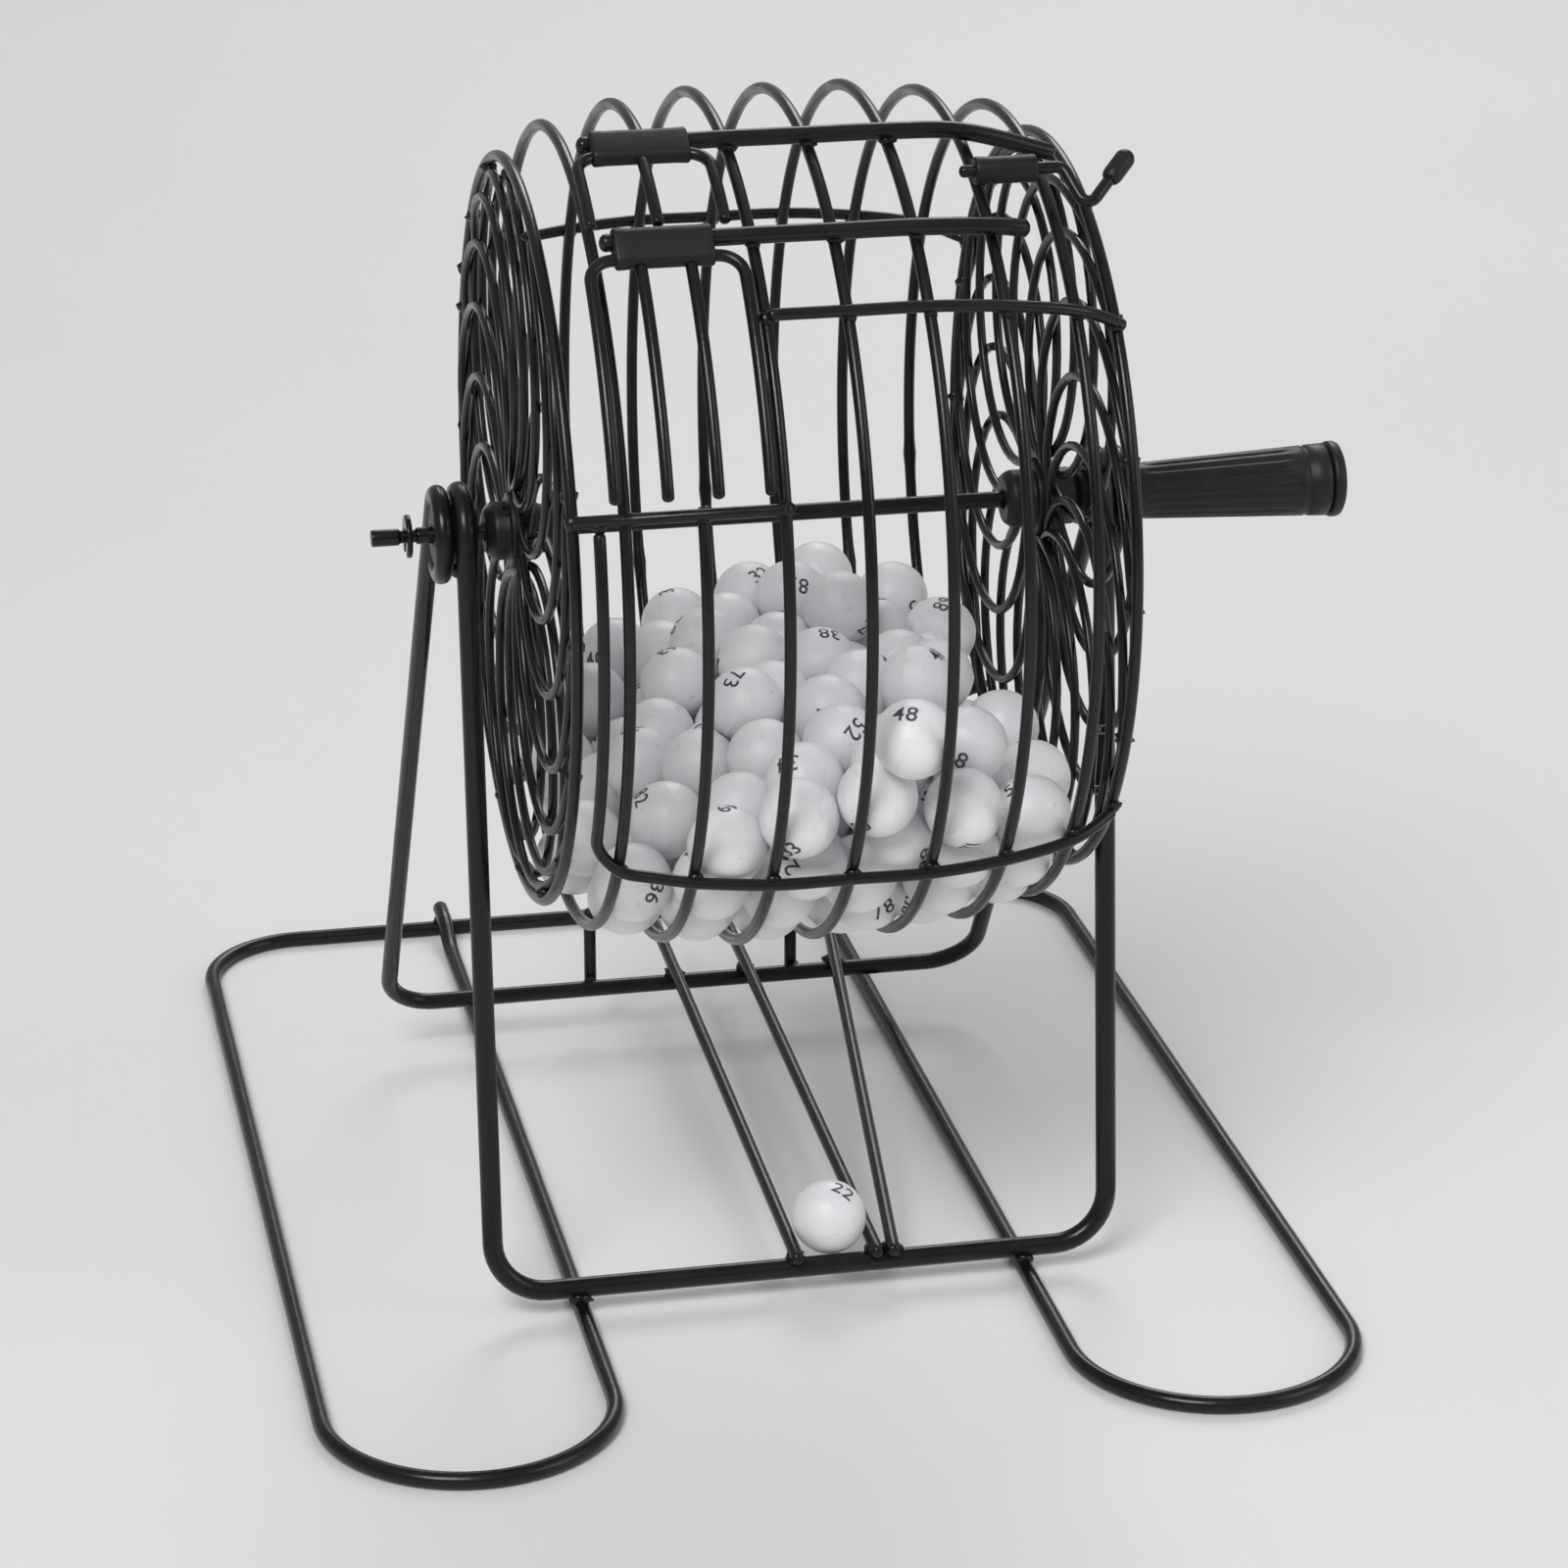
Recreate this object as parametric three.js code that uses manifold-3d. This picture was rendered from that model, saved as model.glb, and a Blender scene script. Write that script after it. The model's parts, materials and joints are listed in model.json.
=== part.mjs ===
// Tabletop bingo cage: a wire drum of balls that turns on an axle in a wire stand, cranked by a plastic grip.
// Millimetres, +Z up. The axle runs along X, the grip is on the +X side and the called ball rolls out towards -Y.
// Everything is laid out around the middle of the axle line, with the floor at z = 0; the last lines move the
// finished model so that its origin is the centre of its bounding box on the floor.

import * as THREE from 'three';
import Module from 'manifold-3d';
import { mergeVertices } from 'three/addons/utils/BufferGeometryUtils.js';

const wasm = await Module();
wasm.setup();

// ---- driving dimensions -------------------------------------------------------------------------------

const GAP = 0.3; // space left between two touching pieces
const AXLE_HEIGHT = 173;
const AXLE_RADIUS = 1.8;
const AXLE_LEFT_END = -88;

const HOOP_WIRE = 1.25; // wire radius of the hoops and of everything welded to them
const HOOP_X = [-57, -47.5, -32.5, -16.5, 0, 16.5, 32.5, 47.5, 57];
const HOOP_RADIUS = [78.5, 84.5, 88.2, 90, 90, 90, 88.2, 84.5, 78.5];
const CUT_HOOP = 2; // the hoop interrupted by the loading door and the ball gate

const COIL_WIRE = 1;
const COIL_LOOPS = 16;
const COIL_CENTRE_RADIUS = 42.3;
const COIL_LOOP_RADIUS = 33.2;
const COIL_LAYER = 1.3; // half the distance between the two layers of a flattened end coil

const ROD_WIRE = 1.8; // the two thick hinge rods
const GATE_ROD_ANGLE = 73; // degrees above the horizontal on the front of the drum
const DOOR_ROD_ANGLE = 54.5;
const DOOR_SILL_ANGLE = 18.5;
const UPPER_STAVE_ANGLE = 43;
const LOWER_STAVE_ANGLE = -36.5;
const REAR_STAVE_ANGLES = [151, 230];
const UPRIGHT_X = -52.5; // where the lower front stave turns up to the sill
const FLAP_MIDDLE = -35; // the door and the gate hang one above the other
const DOOR_HALF_WIDTH = 15.4;
const GATE_HALF_WIDTH = 13.5;
const SLEEVE_LENGTH = 20;
const SLEEVE_RADIUS = 2.9;
const RUNNING_GAP = 0.35; // clearance of a sleeve on its rod

const LATCH_ANGLE = 63.5;
const LATCH_SLEEVE_LEFT = 31;
const LATCH_SLEEVE_RIGHT = 44;

const POST_X = 69;
const POST_WIRE = 2.25;
const EYE_RADIUS = 8.75; // from the axle line to the middle of the wire bent round it
const BASE_BAR_Y = -25;
const REAR_LEG_X = 73.6;
const REAR_LEG_WIRE = 2;
const REAR_BAR_Y = 122;
const REAR_BAR_HEIGHT = 13;

const FOOT_WIRE = 1.9;
const FOOT_SIDES = 8;
const FOOT_OUTER_X = 112;
const FOOT_INNER_X = 50;
const FOOT_FRONT_Y = -100;
const FOOT_REAR_Y = 195;
const FOOT_CORNER = 24;

const RAIL_WIRE = 1.5;
const RAIL_FRONT_X = [-2, 16, 19.5]; // two straight rails, and a third that comes in beside them at the front
const RAIL_REAR_X = [-2, 16, 42];
const RAIL_REAR_Y = 150;
const RAIL_FRONT_Y = -29;
const PRONG_X = [-22.5, 28];
const PRONG_HEIGHT = 20;

const BALL_RADIUS = 8.25;
const HEAP_TOP = -20; // level of the heap's crest under the axle
const HEAP_CREST_X = 6;
const HEAP_FALL_LEFT = 16; // degrees that the heap falls from its crest towards each end
const HEAP_FALL_RIGHT = 20;
const HEAP_CLEARANCE = 0.6;

const SHANK_RADIUS = 4.9;
const BOSS_RADIUS = 6.2;
const FLANGE_RADIUS = COIL_CENTRE_RADIUS - COIL_LOOP_RADIUS - COIL_WIRE - GAP; // the coils end round it
const GRIP_START = 75.2;
const GRIP_END = 124;
const GRIP_SMALL_RADIUS = 5.9;
const GRIP_LARGE_RADIUS = 7.9;

// ---- materials ----------------------------------------------------------------------------------------

const finish = (color, roughness, metalness) => () =>
  new THREE.MeshStandardMaterial({ color, roughness, metalness });
const blackWire = finish(0x141518, 0.38, 0.35);
const blackPlastic = finish(0x1b1d20, 0.5, 0);
const whiteBall = finish(0xe9e8ea, 0.4, 0);

// ---- shape helpers ------------------------------------------------------------------------------------

const degrees = THREE.MathUtils.degToRad;
const point = (x, y, z) => new THREE.Vector3(x, y, z);

// A path whose stations are exactly the given points, so that a wire has faces only where it bends.
class WirePath extends THREE.Curve {
  constructor(points) {
    super();
    this.points = points;
  }

  getUtoTmapping(u) {
    return u;
  }

  getPoint(t, target = new THREE.Vector3()) {
    const station = Math.min(t * (this.points.length - 1), this.points.length - 1);
    const start = Math.min(Math.floor(station + 1e-9), this.points.length - 2);
    return target.lerpVectors(this.points[start], this.points[start + 1], station - start);
  }

  getTangent(t, target = new THREE.Vector3()) {
    const last = this.points.length - 1;
    const station = Math.round(t * last);
    const before = this.points[Math.max(station - 1, 0)];
    const here = this.points[station];
    const after = this.points[Math.min(station + 1, last)];
    const incoming = here.clone().sub(before).normalize();
    const outgoing = after.clone().sub(here).normalize();
    return target.copy(incoming).add(outgoing).normalize();
  }
}

// A regular polygon with a flat side across the path's first normal: the underside of a wire on the floor.
function wireSection(radius, sides) {
  const corners = [];
  for (let i = 0; i < sides; i += 1) {
    const angle = ((i + 0.5) * 2 * Math.PI) / sides;
    corners.push(new THREE.Vector2(radius * Math.cos(angle), radius * Math.sin(angle)));
  }
  return new THREE.Shape(corners);
}

function wireGeometry(points, radius, sides = 6) {
  const options = { steps: points.length - 1, bevelEnabled: false, extrudePath: new WirePath(points) };
  return new THREE.ExtrudeGeometry(wireSection(radius, sides), options);
}

// Replaces each inner corner of a polyline by an arc of the bend radius, in steps of about 22 degrees.
function bendWire(corners, bendRadius) {
  const points = [corners[0]];
  for (let i = 1; i < corners.length - 1; i += 1) {
    const incoming = corners[i].clone().sub(corners[i - 1]).normalize();
    const outgoing = corners[i + 1].clone().sub(corners[i]).normalize();
    const turn = incoming.angleTo(outgoing);
    const setback = bendRadius * Math.tan(turn / 2);
    const inward = outgoing.clone().sub(incoming).normalize();
    const centre = corners[i].clone().addScaledVector(inward, bendRadius / Math.cos(turn / 2));
    const arcStart = corners[i].clone().addScaledVector(incoming, -setback).sub(centre);
    const turnAxis = incoming.clone().cross(outgoing).normalize();
    const steps = Math.max(2, Math.round(turn / degrees(22.5)));
    for (let s = 0; s <= steps; s += 1) {
      points.push(arcStart.clone().applyAxisAngle(turnAxis, (turn * s) / steps).add(centre));
    }
  }
  points.push(corners[corners.length - 1]);
  return points;
}

// A point on the drum: along the axle, up from the horizontal on the front side, and out from the axle line.
function onDrum(x, angle, radius) {
  return point(x, -radius * Math.cos(degrees(angle)), radius * Math.sin(degrees(angle)));
}

// Radius of the outside of the wire drum at x, found between the two nearest hoops.
function drumRadius(x) {
  let i = 0;
  while (i < HOOP_X.length - 2 && x > HOOP_X[i + 1]) {
    i += 1;
  }
  const share = (x - HOOP_X[i]) / (HOOP_X[i + 1] - HOOP_X[i]);
  return THREE.MathUtils.lerp(HOOP_RADIUS[i], HOOP_RADIUS[i + 1], share) + HOOP_WIRE;
}

// A solid of revolution about the X axis, from [x, radius] pairs.
function turnedGeometry(profile, segments) {
  const outline = profile.map(([x, radius]) => new THREE.Vector2(radius, x));
  const geometry = new THREE.LatheGeometry(outline, segments);
  return geometry.rotateZ(-Math.PI / 2);
}

function ringGeometry(x0, x1, inner, outer, segments = 20) {
  const profile = [[x0, inner], [x0, outer], [x1, outer], [x1, inner], [x0, inner]];
  return turnedGeometry(profile, segments);
}

function barGeometry(x0, x1, radius, segments = 16) {
  return turnedGeometry([[x0, 0], [x0, radius], [x1, radius], [x1, 0]], segments);
}

function toManifold(geometry) {
  const bare = geometry.clone();
  bare.deleteAttribute('normal');
  bare.deleteAttribute('uv');
  const merged = mergeVertices(bare, 1e-4);
  const vertProperties = new Float32Array(merged.attributes.position.array);
  const triVerts = new Uint32Array(merged.index.array);
  return new wasm.Manifold(new wasm.Mesh({ numProp: 3, vertProperties, triVerts }));
}

function toGeometry(solid) {
  const mesh = solid.getMesh();
  const geometry = new THREE.BufferGeometry();
  geometry.setAttribute('position', new THREE.BufferAttribute(mesh.vertProperties, 3));
  geometry.setIndex(new THREE.BufferAttribute(mesh.triVerts, 1));
  geometry.computeVertexNormals();
  return geometry;
}

// ---- assembly -----------------------------------------------------------------------------------------

const model = new THREE.Group();
const aroundAxle = new THREE.Group(); // its local origin is the middle of the axle line
aroundAxle.position.z = AXLE_HEIGHT;
model.add(aroundAxle);

function addPiece(group, name, geometry, material) {
  const mesh = new THREE.Mesh(geometry, material());
  mesh.name = name;
  group.add(mesh);
}

// ---- drum: hoops, end coils, staves -------------------------------------------------------------------

function cutHoopPoints(x, radius) {
  const first = GATE_ROD_ANGLE + 1;
  const last = 360 + DOOR_SILL_ANGLE - 1;
  const steps = 28;
  const points = [];
  for (let i = 0; i <= steps; i += 1) {
    points.push(onDrum(x, first + ((last - first) * i) / steps, radius));
  }
  return points;
}

function hoopGeometry(x, radius) {
  const ring = new THREE.TorusGeometry(radius, HOOP_WIRE, 6, 32);
  return ring.rotateY(Math.PI / 2).translate(x, 0, 0);
}

HOOP_X.forEach((x, i) => {
  const isCut = i === CUT_HOOP;
  const geometry = isCut
    ? wireGeometry(cutHoopPoints(x, HOOP_RADIUS[i]), HOOP_WIRE)
    : hoopGeometry(x, HOOP_RADIUS[i]);
  addPiece(aroundAxle, `drum_hoop_${i + 1}`, geometry, blackWire);
});

// An end coil is one wire: loops round a circle, each loop outward in one layer and inward in the other.
function endCoilPoints(x, side) {
  const stepsPerLoop = 14;
  const total = COIL_LOOPS * stepsPerLoop;
  const points = [];
  for (let i = 0; i < total; i += 1) {
    const around = (2 * Math.PI * i) / total;
    const loop = COIL_LOOPS * around;
    const layer = Math.sin(loop) / Math.hypot(Math.sin(loop), 0.1);
    const y = COIL_CENTRE_RADIUS * Math.cos(around) + COIL_LOOP_RADIUS * Math.cos(around + loop);
    const z = COIL_CENTRE_RADIUS * Math.sin(around) + COIL_LOOP_RADIUS * Math.sin(around + loop);
    points.push(point(x + side * COIL_LAYER * layer, y, z));
  }
  return points;
}

for (const [name, side] of [['left', -1], ['right', 1]]) {
  const coil = endCoilPoints(side * HOOP_X[8], side);
  addPiece(aroundAxle, `end_coil_${name}`, wireGeometry(coil, COIL_WIRE, 5), blackWire);
}

// A stave lies on the outside of the hoops between two of them and bends with the barrel of the drum.
function stavePoints(firstHoop, lastHoop, angle) {
  const lift = GAP + HOOP_WIRE;
  const points = [];
  for (let i = firstHoop; i <= lastHoop; i += 1) {
    points.push(onDrum(HOOP_X[i], angle, drumRadius(HOOP_X[i]) + lift));
  }
  return points;
}

// The lower stave in front starts under the sill, comes down beside the second hoop and turns along the drum.
function lowerStavePoints() {
  const lift = GAP + HOOP_WIRE;
  const bend = 8;
  const along = stavePoints(2, 8, LOWER_STAVE_ANGLE);
  const corner = [];
  for (let i = 0; i <= 4; i += 1) {
    const turn = degrees(22.5 * i);
    const x = UPRIGHT_X + bend * (1 - Math.cos(turn));
    const rise = (bend * (1 - Math.sin(turn)) * 180) / (Math.PI * drumRadius(x));
    corner.push(onDrum(x, LOWER_STAVE_ANGLE + rise, drumRadius(x) + lift));
  }
  const upright = [];
  const outside = drumRadius(UPRIGHT_X) + lift;
  const high = DOOR_SILL_ANGLE - ((2 * HOOP_WIRE + GAP) * 180) / (Math.PI * outside);
  const low = LOWER_STAVE_ANGLE + (bend * 180) / (Math.PI * outside);
  for (let i = 0; i < 4; i += 1) {
    upright.push(onDrum(UPRIGHT_X, THREE.MathUtils.lerp(high, low, i / 4), outside));
  }
  return [...upright, ...corner, ...along];
}

const staves = {
  stave_front_upper: stavePoints(3, 8, UPPER_STAVE_ANGLE),
  stave_front_lower: lowerStavePoints(),
  stave_rear_upper: stavePoints(0, 8, REAR_STAVE_ANGLES[0]),
  stave_rear_lower: stavePoints(0, 8, REAR_STAVE_ANGLES[1]),
  door_sill: stavePoints(0, 3, DOOR_SILL_ANGLE),
};
for (const [name, points] of Object.entries(staves)) {
  addPiece(aroundAxle, name, wireGeometry(points, HOOP_WIRE), blackWire);
}

// ---- drum: hinge rods, loading door, ball gate, latch ---------------------------------------------------

const HINGE_RADIUS = drumRadius(HOOP_X[2]) + GAP + SLEEVE_RADIUS; // the sleeves just clear the hoops
const sleeveLeft = FLAP_MIDDLE - SLEEVE_LENGTH / 2;
const sleeveRight = FLAP_MIDDLE + SLEEVE_LENGTH / 2;

function hingeRodPoints(angle, lastX) {
  const middle = drumRadius(0) + GAP + ROD_WIRE;
  const stations = [[sleeveLeft - 2.5, HINGE_RADIUS], [sleeveRight + 1, HINGE_RADIUS], [HOOP_X[3], middle]];
  stations.push([HOOP_X[5], middle], [HOOP_X[6], HINGE_RADIUS]);
  stations.push([lastX, THREE.MathUtils.lerp(HINGE_RADIUS, drumRadius(lastX) + GAP + ROD_WIRE, 0.9)]);
  return stations.map(([x, radius]) => onDrum(x, angle, radius));
}

addPiece(aroundAxle, 'gate_hinge_rod', wireGeometry(hingeRodPoints(GATE_ROD_ANGLE, 52), ROD_WIRE, 8), blackWire);
addPiece(aroundAxle, 'door_hinge_rod', wireGeometry(hingeRodPoints(DOOR_ROD_ANGLE, 40), ROD_WIRE, 8), blackWire);

function sleeveGeometry(x0, x1, angle, radius, inner, outer) {
  const sleeve = ringGeometry(x0, x1, inner, outer, 14);
  const centre = onDrum(0, angle, radius);
  return sleeve.translate(0, centre.y, centre.z);
}

for (const [name, angle] of [['gate_sleeve', GATE_ROD_ANGLE], ['door_sleeve', DOOR_ROD_ANGLE]]) {
  const bore = ROD_WIRE + RUNNING_GAP;
  const geometry = sleeveGeometry(sleeveLeft, sleeveRight, angle, HINGE_RADIUS, bore, SLEEVE_RADIUS);
  addPiece(aroundAxle, name, geometry, blackPlastic);
}

const arcDegrees = (length) => (length * 180) / (Math.PI * HINGE_RADIUS);
const BAR_DROP = arcDegrees(SLEEVE_RADIUS + GAP + HOOP_WIRE); // from a rod down to the bar under its sleeve

// An upside-down U of wire that lies round the drum: two legs joined under the sleeve by a bar.
function flapFramePoints(halfWidth, rodAngle, lowAngle) {
  const left = FLAP_MIDDLE - halfWidth;
  const top = rodAngle - BAR_DROP;
  const bend = 5;
  const steps = 4;
  const points = [];
  const legSteps = Math.max(1, Math.round((top - lowAngle - arcDegrees(bend)) / 9));
  for (let i = 0; i < legSteps; i += 1) {
    const angle = THREE.MathUtils.lerp(lowAngle, top - arcDegrees(bend), i / legSteps);
    points.push([left, angle]);
  }
  for (let i = 0; i <= steps; i += 1) {
    const turn = degrees((90 * i) / steps);
    points.push([left + bend * (1 - Math.cos(turn)), top - arcDegrees(bend * (1 - Math.sin(turn)))]);
  }
  const mirrored = points.map(([x, angle]) => [2 * FLAP_MIDDLE - x, angle]).reverse();
  return [...points, ...mirrored].map(([x, angle]) => onDrum(x, angle, HINGE_RADIUS));
}

const doorLow = DOOR_SILL_ANGLE + arcDegrees(2 * HOOP_WIRE + GAP);
const gateLow = DOOR_ROD_ANGLE + arcDegrees(SLEEVE_RADIUS + GAP + 0.6);
const doorFrame = flapFramePoints(DOOR_HALF_WIDTH, DOOR_ROD_ANGLE, doorLow);
const gateFrame = flapFramePoints(GATE_HALF_WIDTH, GATE_ROD_ANGLE, gateLow);
addPiece(aroundAxle, 'door_frame', wireGeometry(doorFrame, HOOP_WIRE), blackWire);
addPiece(aroundAxle, 'gate_frame', wireGeometry(gateFrame, HOOP_WIRE), blackWire);

// The upright bars that close a flap, hung under its top bar.
function flapBarPoints(x, rodAngle, lowAngle) {
  const top = rodAngle - BAR_DROP - arcDegrees(2 * HOOP_WIRE + GAP);
  const steps = Math.max(1, Math.round((top - lowAngle) / 9));
  const points = [];
  for (let i = 0; i <= steps; i += 1) {
    points.push(onDrum(x, THREE.MathUtils.lerp(lowAngle, top, i / steps), HINGE_RADIUS));
  }
  return points;
}

[FLAP_MIDDLE - 5, FLAP_MIDDLE + 5].forEach((x, i) => {
  const points = flapBarPoints(x, DOOR_ROD_ANGLE, doorLow);
  addPiece(aroundAxle, `door_bar_${i + 1}`, wireGeometry(points, HOOP_WIRE), blackWire);
});
const gateBar = flapBarPoints(FLAP_MIDDLE, GATE_ROD_ANGLE, gateLow);
addPiece(aroundAxle, 'gate_bar', wireGeometry(gateBar, HOOP_WIRE), blackWire);

// The latch: a sleeve on the hoops at the grip end holds a cranked lever with a plastic tip.
const latchRadius = drumRadius(LATCH_SLEEVE_LEFT) + GAP + SLEEVE_RADIUS;
const latchBore = HOOP_WIRE + RUNNING_GAP;
const latchSleeve = sleeveGeometry(
  LATCH_SLEEVE_LEFT, LATCH_SLEEVE_RIGHT, LATCH_ANGLE, latchRadius, latchBore, SLEEVE_RADIUS);
addPiece(aroundAxle, 'latch_sleeve', latchSleeve, blackPlastic);

const latchCorners = [
  onDrum(LATCH_SLEEVE_LEFT - 3, LATCH_ANGLE, latchRadius),
  onDrum(LATCH_SLEEVE_RIGHT + 5.5, LATCH_ANGLE, latchRadius),
  onDrum(LATCH_SLEEVE_RIGHT + 9, LATCH_ANGLE - 6, latchRadius - 3),
  onDrum(LATCH_SLEEVE_RIGHT + 15, LATCH_ANGLE - 2, latchRadius - 0.5),
];
addPiece(aroundAxle, 'latch_lever', wireGeometry(bendWire(latchCorners, 2), HOOP_WIRE), blackWire);

const tipLength = 6.5;
const tipDirection = latchCorners[3].clone().sub(latchCorners[2]).normalize();
const tipCentre = latchCorners[3].clone().addScaledVector(tipDirection, GAP + tipLength / 2);
const tipGeometry = new THREE.CapsuleGeometry(2.1, tipLength - 4.2, 3, 12);
tipGeometry.applyQuaternion(new THREE.Quaternion().setFromUnitVectors(point(0, 1, 0), tipDirection));
tipGeometry.translate(tipCentre.x, tipCentre.y, tipCentre.z);
addPiece(aroundAxle, 'latch_tip', tipGeometry, blackPlastic);

// ---- axle, hubs and grip --------------------------------------------------------------------------------

const bossStart = HOOP_X[8] - COIL_LAYER - COIL_WIRE - 6;
addPiece(aroundAxle, 'axle', barGeometry(AXLE_LEFT_END, GRIP_START + 30, AXLE_RADIUS), blackWire);

const shaftBore = AXLE_RADIUS + GAP;
const flangeStart = HOOP_X[8] - 2;
const flangeEnd = HOOP_X[8] + 2;
const hubProfile = [
  [-64, shaftBore], [-64, BOSS_RADIUS], [-flangeEnd, BOSS_RADIUS], [-flangeEnd, FLANGE_RADIUS],
  [-flangeStart, FLANGE_RADIUS], [-flangeStart, BOSS_RADIUS], [-bossStart, BOSS_RADIUS], [-bossStart, shaftBore],
  [-64, shaftBore],
];
addPiece(aroundAxle, 'hub_left', turnedGeometry(hubProfile, 20), blackPlastic);

const shankProfile = [
  [bossStart, shaftBore], [bossStart, BOSS_RADIUS], [flangeStart, BOSS_RADIUS], [flangeStart, FLANGE_RADIUS],
  [flangeEnd, FLANGE_RADIUS], [flangeEnd, BOSS_RADIUS], [64.5, BOSS_RADIUS], [65.5, SHANK_RADIUS],
  [GRIP_START - GAP, SHANK_RADIUS], [GRIP_START - GAP, shaftBore], [bossStart, shaftBore],
];
addPiece(aroundAxle, 'handle_shank', turnedGeometry(shankProfile, 20), blackPlastic);

const gripBoreEnd = GRIP_START + 30 + GAP;
const capSeat = GRIP_END - 3;
const gripProfile = [
  [GRIP_START, shaftBore], [GRIP_START, GRIP_SMALL_RADIUS - 0.6], [GRIP_START + 0.8, GRIP_SMALL_RADIUS],
  [capSeat, GRIP_LARGE_RADIUS], [capSeat, 0], [gripBoreEnd, 0], [gripBoreEnd, shaftBore], [GRIP_START, shaftBore],
];
addPiece(aroundAxle, 'handle_grip', turnedGeometry(gripProfile, 24), blackPlastic);

const capProfile = [
  [capSeat + GAP, 0], [capSeat + GAP, GRIP_LARGE_RADIUS + 0.35], [GRIP_END - 0.7, GRIP_LARGE_RADIUS + 0.35],
  [GRIP_END, GRIP_LARGE_RADIUS - 0.4], [GRIP_END, 0],
];
addPiece(aroundAxle, 'handle_end_cap', turnedGeometry(capProfile, 24), blackPlastic);

const clipX = -REAR_LEG_X - 6;
addPiece(aroundAxle, 'axle_clip', ringGeometry(clipX - 1.2, clipX, AXLE_RADIUS + GAP, 4.6), blackWire);

// ---- stand: front frame, rear frame, bushes -------------------------------------------------------------

// The eye bent at the top of a leg: an arc round the axle, from the free end of the wire to the leg.
function eyePoints(x, radius, startAngle, endAngle) {
  const steps = 12;
  const points = [];
  for (let i = 0; i <= steps; i += 1) {
    const angle = degrees(THREE.MathUtils.lerp(startAngle, endAngle, i / steps));
    points.push(point(x, radius * Math.cos(angle), radius * Math.sin(angle)));
  }
  return points;
}

// Two legs and a cross bar in one wire, with an eye at the top of each leg.
function legFramePoints(halfWidth, eyeRadius, startAngle, endAngle, barY, barZ, bend) {
  const leftEye = eyePoints(-halfWidth, eyeRadius, startAngle, endAngle);
  const corners = [
    leftEye[leftEye.length - 1], point(-halfWidth, barY, barZ),
    point(halfWidth, barY, barZ), leftEye[leftEye.length - 1].clone().setX(halfWidth),
  ];
  const legs = bendWire(corners, bend);
  const rightEye = eyePoints(halfWidth, eyeRadius, endAngle, startAngle);
  return [...leftEye.slice(0, -1), ...legs, ...rightEye.slice(1)];
}

const footRise = FOOT_WIRE * Math.cos(Math.PI / FOOT_SIDES); // height of the foot wire's middle line
const baseBarHeight = footRise + FOOT_WIRE + GAP + POST_WIRE;
const frontFrame = legFramePoints(
  POST_X, EYE_RADIUS, -85, 175.4, BASE_BAR_Y, baseBarHeight - AXLE_HEIGHT, 12);
const rearFrame = legFramePoints(
  REAR_LEG_X, EYE_RADIUS - 0.2, 300, 37, REAR_BAR_Y, REAR_BAR_HEIGHT - AXLE_HEIGHT, 12);
addPiece(aroundAxle, 'front_frame', wireGeometry(frontFrame, POST_WIRE), blackWire);
addPiece(aroundAxle, 'rear_frame', wireGeometry(rearFrame, REAR_LEG_WIRE), blackWire);

const bushOuter = EYE_RADIUS - POST_WIRE - GAP;
const bushInner = POST_X - POST_WIRE - 0.8;
const bushEnd = REAR_LEG_X + REAR_LEG_WIRE - 0.6;
const leftBush = ringGeometry(-bushEnd, -bushInner, AXLE_RADIUS + RUNNING_GAP, bushOuter);
const rightBush = ringGeometry(bushInner + 0.8, bushEnd - 0.6, SHANK_RADIUS + RUNNING_GAP, bushOuter);
addPiece(aroundAxle, 'axle_bush_left', leftBush, blackPlastic);
addPiece(aroundAxle, 'axle_bush_right', rightBush, blackPlastic);

// ---- stand: foot frame ----------------------------------------------------------------------------------

// One wire flat on the floor: along the back, forward down each side, round, and back under the drum.
function footFramePoints() {
  const turnRadius = (FOOT_OUTER_X - FOOT_INNER_X) / 2;
  const turnY = FOOT_FRONT_Y + FOOT_WIRE + turnRadius;
  const overRear = footRise + 2 * FOOT_WIRE + GAP;
  const left = [
    point(-FOOT_INNER_X, FOOT_REAR_Y + 5, overRear),
    point(-FOOT_INNER_X, FOOT_REAR_Y - 4, overRear),
    point(-FOOT_INNER_X, FOOT_REAR_Y - 18, footRise),
  ];
  for (let i = 0; i <= 10; i += 1) {
    const turn = degrees(18 * i);
    const x = -(FOOT_INNER_X + turnRadius) + turnRadius * Math.cos(turn);
    left.push(point(x, turnY - turnRadius * Math.sin(turn), footRise));
  }
  for (let i = 0; i <= 4; i += 1) {
    const turn = degrees(22.5 * i);
    const x = -FOOT_OUTER_X + FOOT_CORNER * (1 - Math.cos(turn));
    left.push(point(x, FOOT_REAR_Y - FOOT_CORNER * (1 - Math.sin(turn)), footRise));
  }
  const right = left.map((p) => point(-p.x, p.y, p.z)).reverse();
  return [...left, ...right];
}

const footGeometry = wireGeometry(footFramePoints(), FOOT_WIRE, FOOT_SIDES);
addPiece(model, 'foot_frame', footGeometry, blackWire);

// ---- stand: ball chute ----------------------------------------------------------------------------------

const railRearHeight = REAR_BAR_HEIGHT + REAR_LEG_WIRE + GAP + RAIL_WIRE;
const railFrontHeight = baseBarHeight + POST_WIRE + GAP + RAIL_WIRE;
const railFall = (railRearHeight - railFrontHeight) / (REAR_BAR_Y - BASE_BAR_Y);
const railHeight = (y) => railFrontHeight + railFall * (y - BASE_BAR_Y);

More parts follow.
